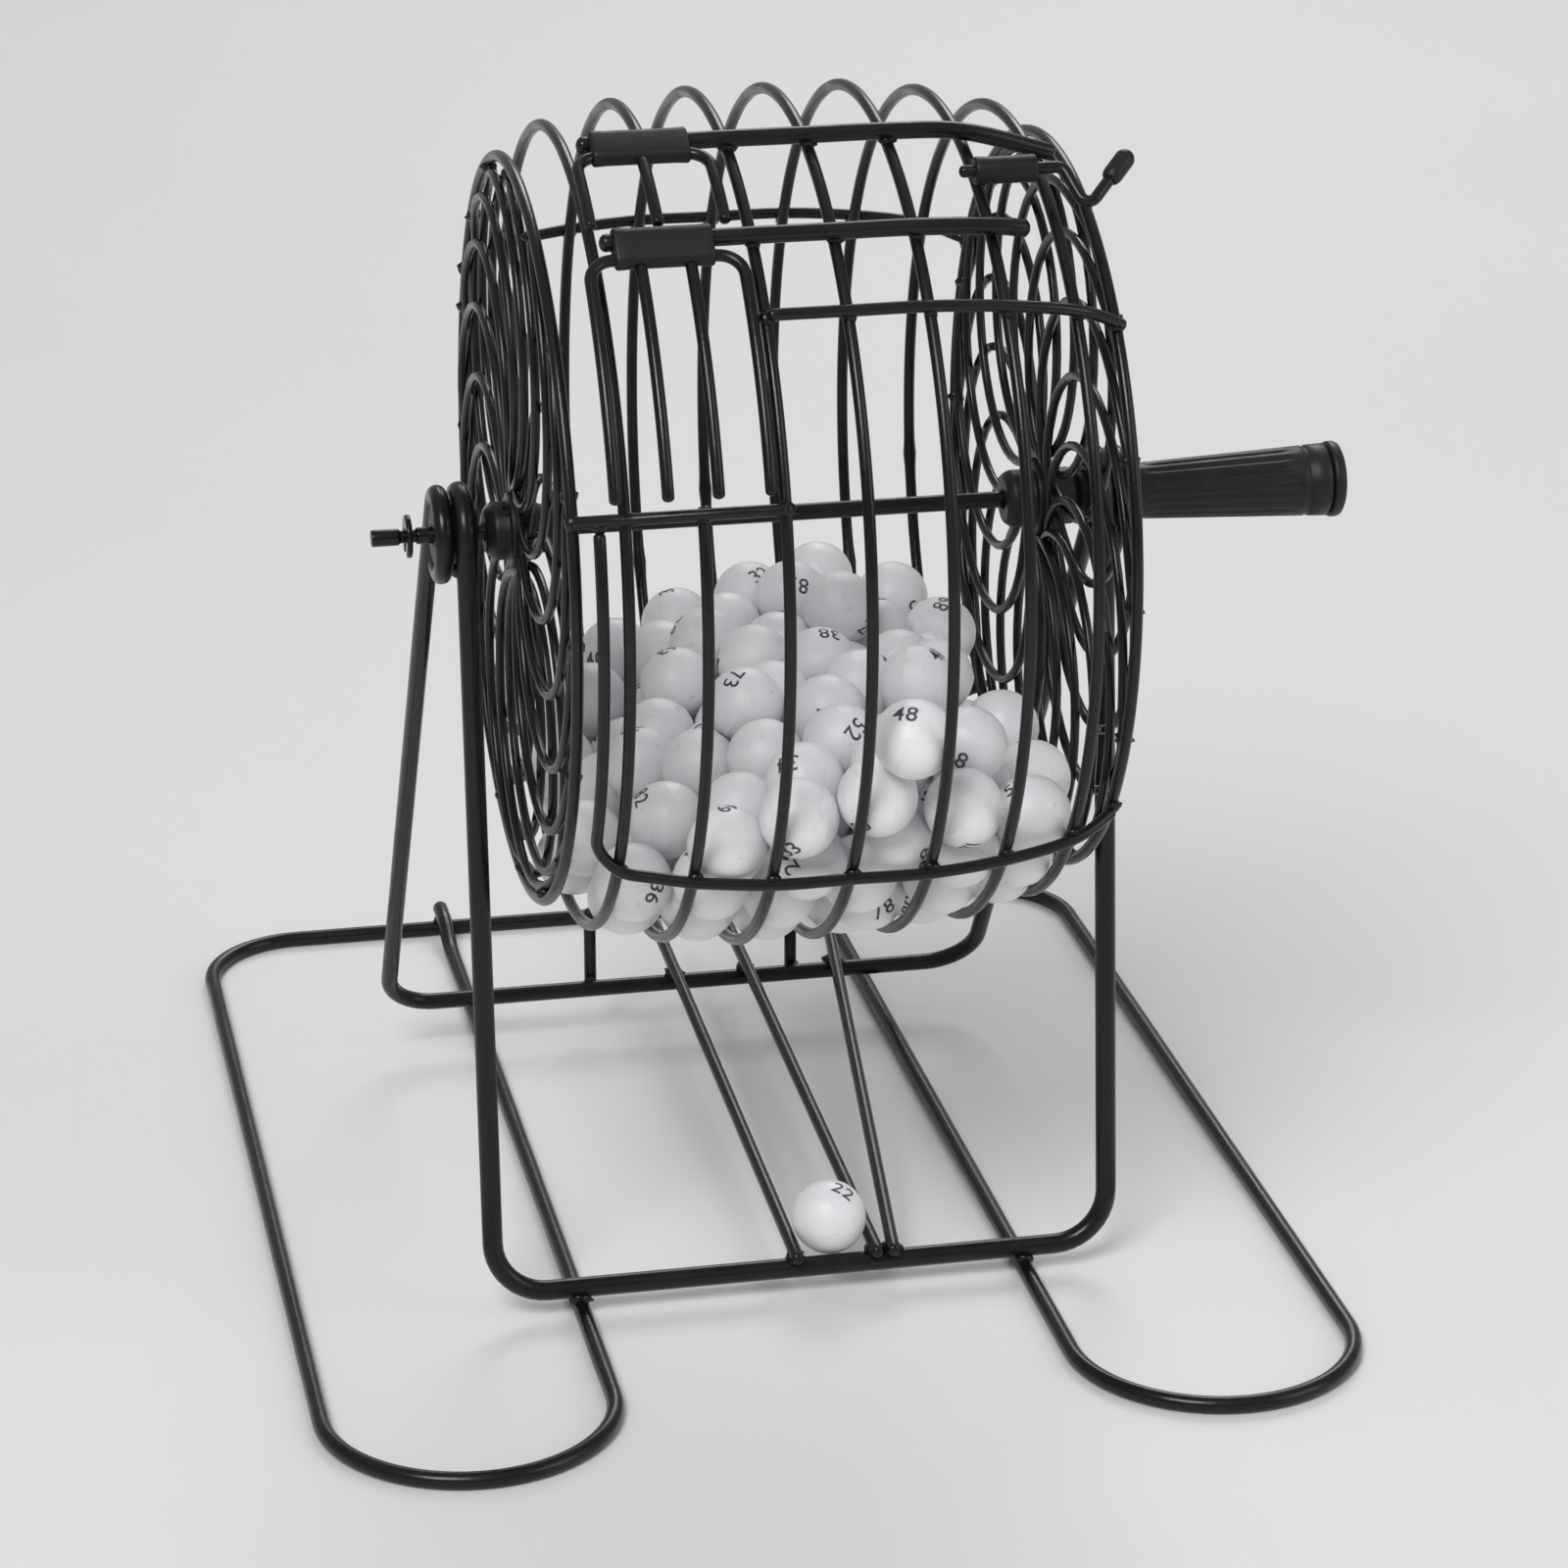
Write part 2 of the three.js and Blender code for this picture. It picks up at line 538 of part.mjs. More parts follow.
RAIL_FRONT_X.forEach((frontX, i) => {
  const rear = point(RAIL_REAR_X[i], RAIL_REAR_Y, railHeight(RAIL_REAR_Y));
  const front = point(frontX, RAIL_FRONT_Y, railHeight(RAIL_FRONT_Y));
  addPiece(model, `chute_rail_${i + 1}`, wireGeometry([rear, front], RAIL_WIRE), blackWire);
});

PRONG_X.forEach((x, i) => {
  const prongY = REAR_BAR_Y + REAR_LEG_WIRE + GAP + RAIL_WIRE;
  const low = point(x, prongY, REAR_BAR_HEIGHT - 3);
  const high = point(x, prongY, REAR_BAR_HEIGHT + PRONG_HEIGHT);
  addPiece(model, `chute_prong_${i + 1}`, wireGeometry([low, high], RAIL_WIRE), blackWire);
});

// ---- balls ----------------------------------------------------------------------------------------------

// The balls in the drum, as one closed heap: the inside of the barrel below a crest that falls to both ends.
function heapGeometry() {
  const inset = 2 * HOOP_WIRE + HEAP_CLEARANCE;
  const endX = HOOP_X[8] - COIL_LAYER - COIL_WIRE - HEAP_CLEARANCE;
  const profile = [[-endX, 0], [-endX, drumRadius(-endX) - inset]];
  for (let i = 1; i < HOOP_X.length - 1; i += 1) {
    profile.push([HOOP_X[i], drumRadius(HOOP_X[i]) - inset]);
  }
  profile.push([endX, drumRadius(endX) - inset], [endX, 0]);
  const cutterSize = 400;
  let heap = toManifold(turnedGeometry(profile, 28));
  for (const fall of [-HEAP_FALL_LEFT, HEAP_FALL_RIGHT]) {
    const cutter = new THREE.BoxGeometry(cutterSize, cutterSize, cutterSize);
    cutter.translate(0, 0, cutterSize / 2);
    cutter.rotateY(degrees(fall)).translate(HEAP_CREST_X, 0, HEAP_TOP);
    heap = heap.subtract(toManifold(cutter));
  }
  return toGeometry(heap);
}

addPiece(aroundAxle, 'ball_heap', heapGeometry(), whiteBall);

// The called ball sits between the first two rails and leans on the base bar that stops it.
const ballX = (RAIL_FRONT_X[0] + RAIL_FRONT_X[1]) / 2;
const railReach = BALL_RADIUS + RAIL_WIRE + GAP / 2;
const ballRise = Math.sqrt(railReach ** 2 - ((RAIL_FRONT_X[1] - RAIL_FRONT_X[0]) / 2) ** 2);
const ballHeight = railHeight(BASE_BAR_Y + BALL_RADIUS) + ballRise;
const barReach = BALL_RADIUS + POST_WIRE + GAP / 2;
const ballY = BASE_BAR_Y + Math.sqrt(barReach ** 2 - (ballHeight - baseBarHeight) ** 2);
const calledBall = new THREE.SphereGeometry(BALL_RADIUS, 24, 14);
calledBall.translate(ballX, ballY, ballHeight);
addPiece(model, 'called_ball', calledBall, whiteBall);

// ---- origin ---------------------------------------------------------------------------------------------

const whole = new THREE.Box3().setFromObject(model);
const middle = whole.getCenter(new THREE.Vector3());
model.position.set(-middle.x, -middle.y, -whole.min.z);

export default model;
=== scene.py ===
import json
import math

import bmesh
import bpy
import numpy as np
from mathutils import Matrix, Quaternion, Vector


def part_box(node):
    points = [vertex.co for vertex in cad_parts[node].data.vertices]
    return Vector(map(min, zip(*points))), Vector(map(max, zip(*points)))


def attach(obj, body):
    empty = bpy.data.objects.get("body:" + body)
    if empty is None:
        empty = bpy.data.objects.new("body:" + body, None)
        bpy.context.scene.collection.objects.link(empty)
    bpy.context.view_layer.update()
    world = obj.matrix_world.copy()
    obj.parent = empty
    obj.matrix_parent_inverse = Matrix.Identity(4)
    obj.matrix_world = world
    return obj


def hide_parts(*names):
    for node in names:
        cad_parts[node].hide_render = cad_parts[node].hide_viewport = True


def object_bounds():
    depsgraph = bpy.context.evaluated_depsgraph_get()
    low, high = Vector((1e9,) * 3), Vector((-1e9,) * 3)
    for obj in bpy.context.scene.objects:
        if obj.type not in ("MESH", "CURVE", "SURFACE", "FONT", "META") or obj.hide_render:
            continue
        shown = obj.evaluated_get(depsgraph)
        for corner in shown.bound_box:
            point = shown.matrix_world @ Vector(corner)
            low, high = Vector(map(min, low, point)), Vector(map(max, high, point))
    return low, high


# Looks of a tabletop bingo cage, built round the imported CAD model. Dimensions are in millimetres from the
# middle of the axle line, as in the CAD source. Finished meshes are in metres in the CAD's own frame.

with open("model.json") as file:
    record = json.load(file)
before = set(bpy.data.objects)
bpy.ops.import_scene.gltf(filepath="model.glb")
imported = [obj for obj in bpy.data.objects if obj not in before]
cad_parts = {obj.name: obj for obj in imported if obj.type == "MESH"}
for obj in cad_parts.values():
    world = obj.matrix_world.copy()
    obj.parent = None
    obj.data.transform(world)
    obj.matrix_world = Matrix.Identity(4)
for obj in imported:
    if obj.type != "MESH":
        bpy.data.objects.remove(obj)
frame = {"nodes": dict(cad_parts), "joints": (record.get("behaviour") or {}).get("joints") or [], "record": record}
cad_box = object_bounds()
scene = bpy.context.scene

MM = 0.001
JOINTS = {joint["name"]: joint for joint in frame["joints"]}
BODIES = frame["record"]["behaviour"]["bodies"]
BODY_OF = {node: body for body, members in BODIES.items() for node in members}
AXLE_CENTRE = np.array(JOINTS["drum_spin"]["pos_m"])
AXLE_HEIGHT = 173.0

# ---- dimensions of the drum

HOOP_X = [-57, -47.5, -32.5, -16.5, 0, 16.5, 32.5, 47.5, 57]
HOOP_RADIUS = [78.5, 84.5, 88.2, 90, 90, 90, 88.2, 84.5, 78.5]
HOOP_WIRE = 1.25
HOOP_STEPS = 180
CUT_HOOP = 2
CUT_HOOP_STEPS = 140
BUTT_WELD_SWELL = 0.22
BUTT_WELD_SPREAD = 0.8  # in steps along the hoop
WELD_SINK = 0.3  # how far two welded wires are pressed into each other
GAP = 0.3  # clearance between pieces that move past each other

COIL_WIRE = 1.0
COIL_LOOPS = 16
COIL_CENTRE_RADIUS = 42.3
COIL_LOOP_RADIUS = 33.2
COIL_LAYER = 1.15
COIL_REACH = 1.3  # room for the coils inside the end hoops
COIL_STEPS = 48  # points in one loop
COIL_CROSSOVER = 0.25  # how slowly the wire passes from one layer to the other

ROD_WIRE = 1.8
GATE_ROD_ANGLE = 73
DOOR_ROD_ANGLE = 54.5
DOOR_SILL_ANGLE = 18.5
UPPER_STAVE_ANGLE = 43
LOWER_STAVE_ANGLE = -36.5
REAR_STAVE_ANGLES = {"stave_rear_upper": 151, "stave_rear_lower": 230}
UPRIGHT_X = -52.5  # where the lower front stave turns up to the sill
FLAP_MIDDLE = -35  # the door and the gate hang one above the other
DOOR_HALF_WIDTH = 15.4
DOOR_BAR_OFFSET = 5
GATE_HALF_WIDTH = 13.5
SLEEVE_LENGTH = 20
SLEEVE_RADIUS = 2.9
SLEEVE_EDGE = 0.7
SLEEVE_SIDES = 48
FLAP_BEND = 5
STAVE_BEND = 8

LATCH_ANGLE = 63.5
LATCH_SLEEVE_LEFT = 31
LATCH_SLEEVE_RIGHT = 44

# ---- dimensions of the stand

POST_X = 69
POST_WIRE = 2.25
EYE_RADIUS = 8.75
REAR_EYE_RADIUS = 8.55
FRONT_EYE_TURNS = [-85, 175.4]  # where the wire of each eye starts and ends, in degrees
REAR_EYE_TURNS = [300, 37]
LEG_BEND = 12
BASE_BAR_Y = -25
REAR_LEG_X = 73.6
REAR_LEG_WIRE = 2
REAR_BAR_Y = 122
REAR_BAR_HEIGHT = 13
FOOT_WIRE = 1.9
FOOT_OUTER_X = 112
FOOT_INNER_X = 50
FOOT_FRONT_Y = -100
FOOT_REAR_Y = 195
FOOT_CORNER = 24
RAIL_WIRE = 1.5
RAIL_FRONT_X = [-2, 16, 19.5]
RAIL_REAR_X = [-2, 16, 42]
RAIL_REAR_Y = 150
RAIL_FRONT_Y = -29
PRONG_X = [-22.5, 28]
PRONG_HEIGHT = 20
RAIL_SINK = 0.35  # how far the rails are pressed into the bars at their welds

BALL_RADIUS = 8.25
BALL_COUNT = 142
BALL_GAP = 0.03
BALL_TO_HOOP_GAP = 0.1
BALL_BULGE = 0.8  # how far a ball may bulge out between two hoops
HEAP_CREST_X = 10
HEAP_CREST_WIDTH = 4
HEAP_RISE_LEFT = 0.3  # slope of the heap's top from the left end up to its crest
HEAP_FALL_RIGHT = 0.36  # and from the crest down towards the grip
HEAP_BACK_Y = 60  # balls that bank up behind this line, above the next level, are taken out
HEAP_BACK_LEVEL = -35

# ---- small helpers


def on_drum(x, angle, radius):
    """A point at x along the axle, at an angle up from the front horizontal, out from the axle line."""
    turn = math.radians(angle)
    return np.array([x, -radius * math.cos(turn), radius * math.sin(turn)])


def hoop_radius(x):
    """Radius of the drum over the middles of the hoops' wires."""
    return float(np.interp(x, HOOP_X, HOOP_RADIUS))


def unit(vector):
    vector = np.asarray(vector, float)
    return vector / np.linalg.norm(vector)


def smooth_curve(stations, steps=8):
    """A Catmull-Rom curve through the stations."""
    points = np.array(stations, float)
    padded = np.vstack([2 * points[0] - points[1], points, 2 * points[-1] - points[-2]])
    curve = []
    for i in range(1, len(padded) - 2):
        p0, p1, p2, p3 = padded[i - 1 : i + 3]
        for t in np.linspace(0, 1, steps, endpoint=False):
            curve.append(0.5 * (2 * p1 + (p2 - p0) * t + (2 * p0 - 5 * p1 + 4 * p2 - p3) * t**2
                                + (3 * p1 - p0 - 3 * p2 + p3) * t**3))
    curve.append(points[-1])
    return curve


def bend_wire(corners, bend_radius, steps=10):
    """A polyline whose inner corners are replaced by arcs."""
    corners = [np.array(c, float) for c in corners]
    points = [corners[0]]
    for before, here, after in zip(corners, corners[1:], corners[2:]):
        incoming, outgoing = unit(here - before), unit(after - here)
        turn = math.acos(np.clip(incoming @ outgoing, -1, 1))
        setback = bend_radius * math.tan(turn / 2)
        inward = unit(outgoing - incoming)
        centre = here + inward * bend_radius / math.cos(turn / 2)
        start = here - incoming * setback - centre
        axis = Vector(np.cross(incoming, outgoing)).normalized()
        for i in range(steps + 1):
            turned = Matrix.Rotation(turn * i / steps, 3, axis) @ Vector(start)
            points.append(np.array(turned) + centre)
    points.append(corners[-1])
    return points


def ring_faces(rows, sides, closed=False):
    """Quads between neighbouring rings of points."""
    faces = []
    for i in range(rows if closed else rows - 1):
        low, high = i * sides, ((i + 1) % rows) * sides
        for s in range(sides):
            e = (s + 1) % sides
            faces.append((low + s, high + s, high + e, low + e))
    return faces


def end_faces(rows, sides):
    """Triangles from the first and the last ring to two points that follow the rings."""
    faces = []
    first, last = rows * sides, (rows - 1) * sides
    for s in range(sides):
        e = (s + 1) % sides
        faces.append((first, s, e))
        faces.append((first + 1, last + e, last + s))
    return faces


def tube_shell(points, radius, sides=14, closed=False, swell=None):
    """Vertices and faces of a round wire along the points, with domed ends unless it is closed."""
    path = np.array(points, float)
    if closed:
        tangent = np.roll(path, -1, 0) - np.roll(path, 1, 0)
    else:
        tangent = np.gradient(path, axis=0)
    tangent /= np.linalg.norm(tangent, axis=1)[:, None]
    count = len(path)
    radii = np.full(count, float(radius)) if swell is None else radius * (1 + swell)
    helper = np.array([0.0, 0.0, 1.0]) if abs(tangent[0][2]) < 0.9 else np.array([0.0, 1.0, 0.0])
    normal = unit(np.cross(tangent[0], helper))
    normals = [normal]
    for i in range(1, count):
        normal = unit(normal - tangent[i] * (normal @ tangent[i]))
        normals.append(normal)
    normals = np.array(normals)
    if closed:  # spread the twist between the last and the first section over the whole loop
        carried = unit(normals[-1] - tangent[0] * (normals[-1] @ tangent[0]))
        across = np.cross(tangent[0], normals[0])
        twist = math.atan2(carried @ across, carried @ normals[0])
        share = -twist * np.arange(count) / count
        side = np.cross(tangent, normals)
        normals = normals * np.cos(share)[:, None] + side * np.sin(share)[:, None]
    binormals = np.cross(tangent, normals)
    rings = [(path[i], normals[i], binormals[i], radii[i]) for i in range(count)]
    if not closed:
        dome = 0.7 * radius
        first, last = [], []
        for tilt in np.radians([75, 50, 25]):
            size, reach = radius * math.cos(tilt), dome * math.sin(tilt)
            first.append((path[0] + tangent[0] * (dome - reach), normals[0], binormals[0], size))
            last.append((path[-1] - tangent[-1] * (dome - reach), normals[-1], binormals[-1], size))
        rings[0] = (path[0] + tangent[0] * dome, normals[0], binormals[0], radii[0])
        rings[-1] = (path[-1] - tangent[-1] * dome, normals[-1], binormals[-1], radii[-1])
        rings = first + rings + last[::-1]
    around = np.arange(sides) * 2 * math.pi / sides
    verts = []
    for centre, n, b, size in rings:
        verts.extend(centre + size * (np.cos(around)[:, None] * n + np.sin(around)[:, None] * b))
    faces = ring_faces(len(rings), sides, closed)
    if not closed:
        verts.extend([path[0], path[-1]])
        faces += end_faces(len(rings), sides)
    return np.array(verts), faces


def rounded(profile, radius, steps=4, closed=False):
    """A profile whose corners are rounded off."""
    points = [np.array(p, float) for p in profile]
    count = len(points)
    out = []
    for i, here in enumerate(points):
        if not closed and i in (0, count - 1):
            out.append(here)
            continue
        before, after = points[i - 1], points[(i + 1) % count]
        reach = min(radius, 0.45 * np.linalg.norm(before - here), 0.45 * np.linalg.norm(after - here))
        start, end = here + unit(before - here) * reach, here + unit(after - here) * reach
        for t in np.linspace(0, 1, steps + 1):
            out.append((1 - t) ** 2 * start + 2 * t * (1 - t) * here + t**2 * end)
    return out


def turned_shell(profile, segments=48, closed=False, shape=None):
    """Vertices and faces of a solid turned about the X axis; shape may change the radius by x and angle."""
    verts, faces, rows = [], [], []
    for x, radius in profile:
        if radius < 1e-6:
            rows.append([len(verts)])
            verts.append([x, 0, 0])
            continue
        row = []
        for s in range(segments):
            turn = 2 * math.pi * s / segments
            r = radius if shape is None else shape(x, turn, radius)
            row.append(len(verts))
            verts.append([x, r * math.cos(turn), r * math.sin(turn)])
        rows.append(row)
    pairs = list(zip(rows, rows[1:] + rows[:1])) if closed else list(zip(rows, rows[1:]))
    for a, b in pairs:
        for s in range(segments):
            e = (s + 1) % segments
            corners = [a[s % len(a)], a[e % len(a)], b[e % len(b)], b[s % len(b)]]
            face = list(dict.fromkeys(corners))
            if len(face) > 2:
                faces.append(tuple(face))
    return np.array(verts, float), faces


def join_shells(shells):
    verts, faces, start = [], [], 0
    for v, f in shells:
        verts.append(v)
        faces.extend(tuple(i + start for i in face) for face in f)
        start += len(v)
    return np.vstack(verts), faces


def add_piece(name, shell, finish, body, nodes=()):
    """Places a shell as a piece in the CAD's frame, riding on a body and standing for CAD nodes."""
    verts, faces = shell
    material, slot = finish
    mesh = bpy.data.meshes.new(name)
    mesh.from_pydata((verts * MM + AXLE_CENTRE).tolist(), [], faces)
    work = bmesh.new()
    work.from_mesh(mesh)
    bmesh.ops.recalc_face_normals(work, faces=work.faces)
    work.to_mesh(mesh)
    work.free()
    mesh.shade_smooth()
    mesh.materials.append(material)
    piece = bpy.data.objects.new(name, mesh)
    scene.collection.objects.link(piece)
    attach(piece, body)
    if nodes:
        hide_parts(*nodes)
    return piece


def stand_for(node, shell, finish):
    """A fine piece that takes the place of one CAD node."""
    add_piece(f"{node}_fine", shell, finish, BODY_OF[node], [node])


# ---- materials


class Paint:
    """A node material under construction, with object coordinates and a Principled shader."""

    def __init__(self, name):
        self.material = bpy.data.materials.new(name)
        self.material.use_nodes = True
        self.nodes = self.material.node_tree.nodes
        self.links = self.material.node_tree.links
        self.shader = self.nodes["Principled BSDF"]
        self.place = self.nodes.new("ShaderNodeTexCoord").outputs["Object"]

    def add(self, kind, levels):
        """A new node with some of its inputs set."""
        node = self.nodes.new(kind)
        for socket, level in levels.items():
            node.inputs[socket].default_value = level
        return node

    def noise(self, scale, detail=4, roughness=0.5, stretch=None):
        node = self.add("ShaderNodeTexNoise", {"Scale": scale, "Detail": detail, "Roughness": roughness})
        place = self.place
        if stretch:
            mapping = self.add("ShaderNodeMapping", {"Scale": stretch})
            self.links.new(place, mapping.inputs["Vector"])
            place = mapping.outputs["Vector"]
        self.links.new(place, node.inputs["Vector"])
        return node.outputs["Fac"]

    def spread(self, value, low, high, to_low, to_high):
        levels = {"From Min": low, "From Max": high, "To Min": to_low, "To Max": to_high}
        node = self.add("ShaderNodeMapRange", levels)
        self.links.new(value, node.inputs["Value"])
        return node.outputs["Result"]

    def mix(self, share, first, second):
        node = self.nodes.new("ShaderNodeMix")
        node.data_type = "RGBA"
        self.links.new(share, node.inputs["Factor"])
        for socket, colour in ((node.inputs[6], first), (node.inputs[7], second)):
            if isinstance(colour, bpy.types.NodeSocket):
                self.links.new(colour, socket)
            else:
                socket.default_value = (*colour, 1)
        return node.outputs[2]

    def add_up(self, first, second, share):
        node = self.add("ShaderNodeMath", {1: share})
        node.operation = "MULTIPLY_ADD"
        self.links.new(second, node.inputs[0])
        self.links.new(first, node.inputs[2])
        return node.outputs[0]

    def attribute(self, name):
        node = self.nodes.new("ShaderNodeAttribute")
        node.attribute_name = name
        return node.outputs["Fac"]

    def bump(self, height, strength, distance):
        node = self.add("ShaderNodeBump", {"Strength": strength, "Distance": distance})
        self.links.new(height, node.inputs["Height"])
        self.links.new(node.outputs["Normal"], self.shader.inputs["Normal"])

    def feed(self, socket, value):
        self.links.new(value, self.shader.inputs[socket])

    def set(self, socket, value):
        self.shader.inputs[socket].default_value = value


def enamel(name, dark, light, chip_level):
    """Black dipped enamel on steel wire: orange peel, uneven gloss, a few chips down to grey steel."""
    paint = Paint(name)
    broad = paint.noise(55, 4)
    fine = paint.noise(900, 3)
    chips = paint.spread(paint.noise(210, 9, 0.72), chip_level, chip_level + 0.012, 0, 1)
    paint.feed("Base Color", paint.mix(chips, paint.mix(broad, dark, light), (0.16, 0.14, 0.125)))
    paint.feed("Roughness", paint.spread(broad, 0.3, 0.7, 0.17, 0.36))
    paint.feed("Metallic", paint.spread(chips, 0, 1, 0, 0.85))
    paint.set("Coat Weight", 0.08)
    paint.set("Coat Roughness", 0.15)
    paint.set("Specular IOR Level", 0.32)
    paint.bump(paint.add_up(fine, broad, 1.6), 0.35, 0.00012)
    return paint.material


def moulded_plastic(name, dark, light, grain, rough):
    """Black moulded plastic: fine spark-eroded grain, faint flow marks, rubbed patches."""
    paint = Paint(name)
    flow = paint.noise(70, 5, 0.6, (0.35, 1, 1))
    speck = paint.noise(grain, 2)
    rubbed = paint.spread(paint.noise(130, 6, 0.65), 0.5, 0.72, 0, 1)
    paint.feed("Base Color", paint.mix(rubbed, paint.mix(flow, dark, light), tuple(c * 1.5 for c in light)))
    shine = paint.add_up(flow, rubbed, -0.35)
    paint.feed("Roughness", paint.spread(shine, 0.1, 0.75, rough - 0.1, rough + 0.12))
    paint.set("Specular IOR Level", 0.36)
    paint.bump(paint.add_up(speck, flow, 0.8), 0.3, 0.00012)
    return paint.material


def ball_plastic():
    """White ball plastic: each ball a slightly different white, with scuffs and handling marks."""
    paint = Paint("ball_white")
    tone = paint.attribute("tone")
    cloud = paint.noise(120, 5, 0.6)
    scuff = paint.spread(paint.noise(420, 7, 0.7, (1, 0.3, 1)), 0.6, 0.7, 0, 0.5)
    white = paint.mix(tone, (0.9, 0.885, 0.91), (0.83, 0.82, 0.855))
    clouded = paint.mix(paint.spread(cloud, 0.35, 0.75, 0, 0.35), white, (0.74, 0.73, 0.76))
    paint.feed("Base Color", paint.mix(scuff, clouded, (0.52, 0.51, 0.50)))
    paint.feed("Roughness", paint.spread(paint.add_up(cloud, scuff, 0.5), 0.3, 0.8, 0.34, 0.56))
    paint.set("Subsurface Weight", 0.06)
    paint.set("Subsurface Scale", 0.002)
    paint.bump(paint.add_up(cloud, scuff, -0.4), 0.15, 0.0002)
    return paint.material


def printed_ink():
    """Dark printing ink, thinner in places."""
    paint = Paint("number_ink")
    worn = paint.spread(paint.noise(700, 5, 0.7), 0.45, 0.75, 0, 0.7)
    paint.feed("Base Color", paint.mix(worn, (0.045, 0.045, 0.055), (0.2, 0.2, 0.22)))
    paint.feed("Roughness", paint.spread(worn, 0, 1, 0.38, 0.6))
    paint.bump(worn, 0.2, 0.00005)
    return paint.material


STAND_ENAMEL = enamel("stand_enamel", (0.003, 0.003, 0.0034), (0.008, 0.0079, 0.0085), 0.755)
DRUM_ENAMEL = enamel("drum_enamel", (0.0033, 0.0033, 0.0038), (0.009, 0.0088, 0.0098), 0.75)
FITTING_BLACK = moulded_plastic("fitting_black", (0.004, 0.004, 0.0046), (0.0085, 0.0085, 0.0095), 1600, 0.42)
GRIP_BLACK = moulded_plastic("grip_black", (0.0045, 0.0047, 0.006), (0.0105, 0.0108, 0.0135), 1100, 0.4)

# a finish is a material and the name of a slot, if any
STAND_WIRE = (STAND_ENAMEL, "stand_wire")
AXLE_WIRE = (STAND_ENAMEL, "drum_wire")
DRUM_WIRE = (DRUM_ENAMEL, "drum_wire")
FITTING = (FITTING_BLACK, "fitting_plastic")
GRIP = (GRIP_BLACK, "grip_plastic")
BALL = (ball_plastic(), "ball_plastic")
INK = (printed_ink(), None)

# ---- drum: hoops, end coils, staves

chance = np.random.default_rng(7)
drum_welds = []
stand_welds = []
WELD_FLATNESS = 0.7  # half the height of a bead against its radius
WELD_UNEVENNESS = 0.16
WELD_ROWS = 6
WELD_SIDES = 10
COIL_WELD = 1.9  # radii of the beads
STAVE_WELD = 1.75
SILL_WELD = 1.7
CORNER_WELD = 1.6
ROD_WELD = 2.1
RAIL_WELD = 2.3
RAIL_WELD_LENGTH = 1.2  # against its width
PRONG_WELD = 2.2
FOOT_WELDS = [[BASE_BAR_Y, 0.1, 2.6], [FOOT_REAR_Y, 0, 2.4]]  # y, height over the wire, radius
UPWARD = np.array([0, 0, 1.0])


def weld(beads, place, outward, size, length=1.0):
    """A small uneven bead of weld under the enamel, at a place in the drum-centred frame."""
    across = unit(np.cross(outward, [0.31, 0.2, 0.93]))  # any direction across the outward one
    along = np.cross(outward, across)
    rise = WELD_FLATNESS * size * unit(outward)
    verts = []
    for i in range(1, WELD_ROWS + 1):
        tilt = math.pi * i / (WELD_ROWS + 1)
        for s in range(WELD_SIDES):
            turn = 2 * math.pi * s / WELD_SIDES
            lump = size * (1 + WELD_UNEVENNESS * chance.standard_normal() * math.sin(tilt))
            flat = lump * math.sin(tilt)
            verts.append(place + flat * math.cos(turn) * across * length + flat * math.sin(turn) * along
                         + math.cos(tilt) * rise)
    verts.extend([place + rise, place - rise])
    faces = ring_faces(WELD_ROWS, WELD_SIDES) + end_faces(WELD_ROWS, WELD_SIDES)
    beads.append((np.array(verts), faces))


def butt_weld_swell(count, seam):
    """How much a hoop's wire swells at the butt weld that closes it."""
    steps = np.arange(count)
    away = np.minimum(np.abs(steps - seam), count - np.abs(steps - seam))
    return BUTT_WELD_SWELL * np.exp(-((away / BUTT_WELD_SPREAD) ** 2))


for i, (x, radius) in enumerate(zip(HOOP_X, HOOP_RADIUS)):
    if i == CUT_HOOP:
        angles = np.linspace(GATE_ROD_ANGLE, 360 + DOOR_SILL_ANGLE, CUT_HOOP_STEPS)
        points = [on_drum(x, a, radius) for a in angles]
        shell = tube_shell(points, HOOP_WIRE)
    else:
        points = [on_drum(x, 360 * s / HOOP_STEPS, radius) for s in range(HOOP_STEPS)]
        seam = int(HOOP_STEPS * (0.53 + 0.05 * chance.random()))
        shell = tube_shell(points, HOOP_WIRE, closed=True, swell=butt_weld_swell(HOOP_STEPS, seam))
    stand_for(f"drum_hoop_{i + 1}", shell, DRUM_WIRE)


def end_coil(x, side):
    """One wire in loops round a circle, each loop outward in one layer and inward in the other."""
    total = COIL_LOOPS * COIL_STEPS
    points = []
    for i in range(total):
        around = 2 * math.pi * i / total
        loop = COIL_LOOPS * around
        layer = math.sin(loop) / math.hypot(math.sin(loop), COIL_CROSSOVER)
        y = COIL_CENTRE_RADIUS * math.cos(around) + COIL_LOOP_RADIUS * math.cos(around + loop)
        z = COIL_CENTRE_RADIUS * math.sin(around) + COIL_LOOP_RADIUS * math.sin(around + loop)
        points.append([x + side * COIL_LAYER * layer, y, z])
    return tube_shell(points, COIL_WIRE, 10, closed=True)


for name, side in (("left", -1), ("right", 1)):
    stand_for(f"end_coil_{name}", end_coil(side * HOOP_X[8], side), DRUM_WIRE)
    for k in range(COIL_LOOPS):
        turn = 2 * math.pi * k / COIL_LOOPS
        outward = np.array([0, math.cos(turn), math.sin(turn)])
        edge = (COIL_CENTRE_RADIUS + COIL_LOOP_RADIUS + HOOP_RADIUS[0]) / 2
        weld(drum_welds, outward * edge + np.array([side * HOOP_X[8], 0, 0]), outward, COIL_WELD)


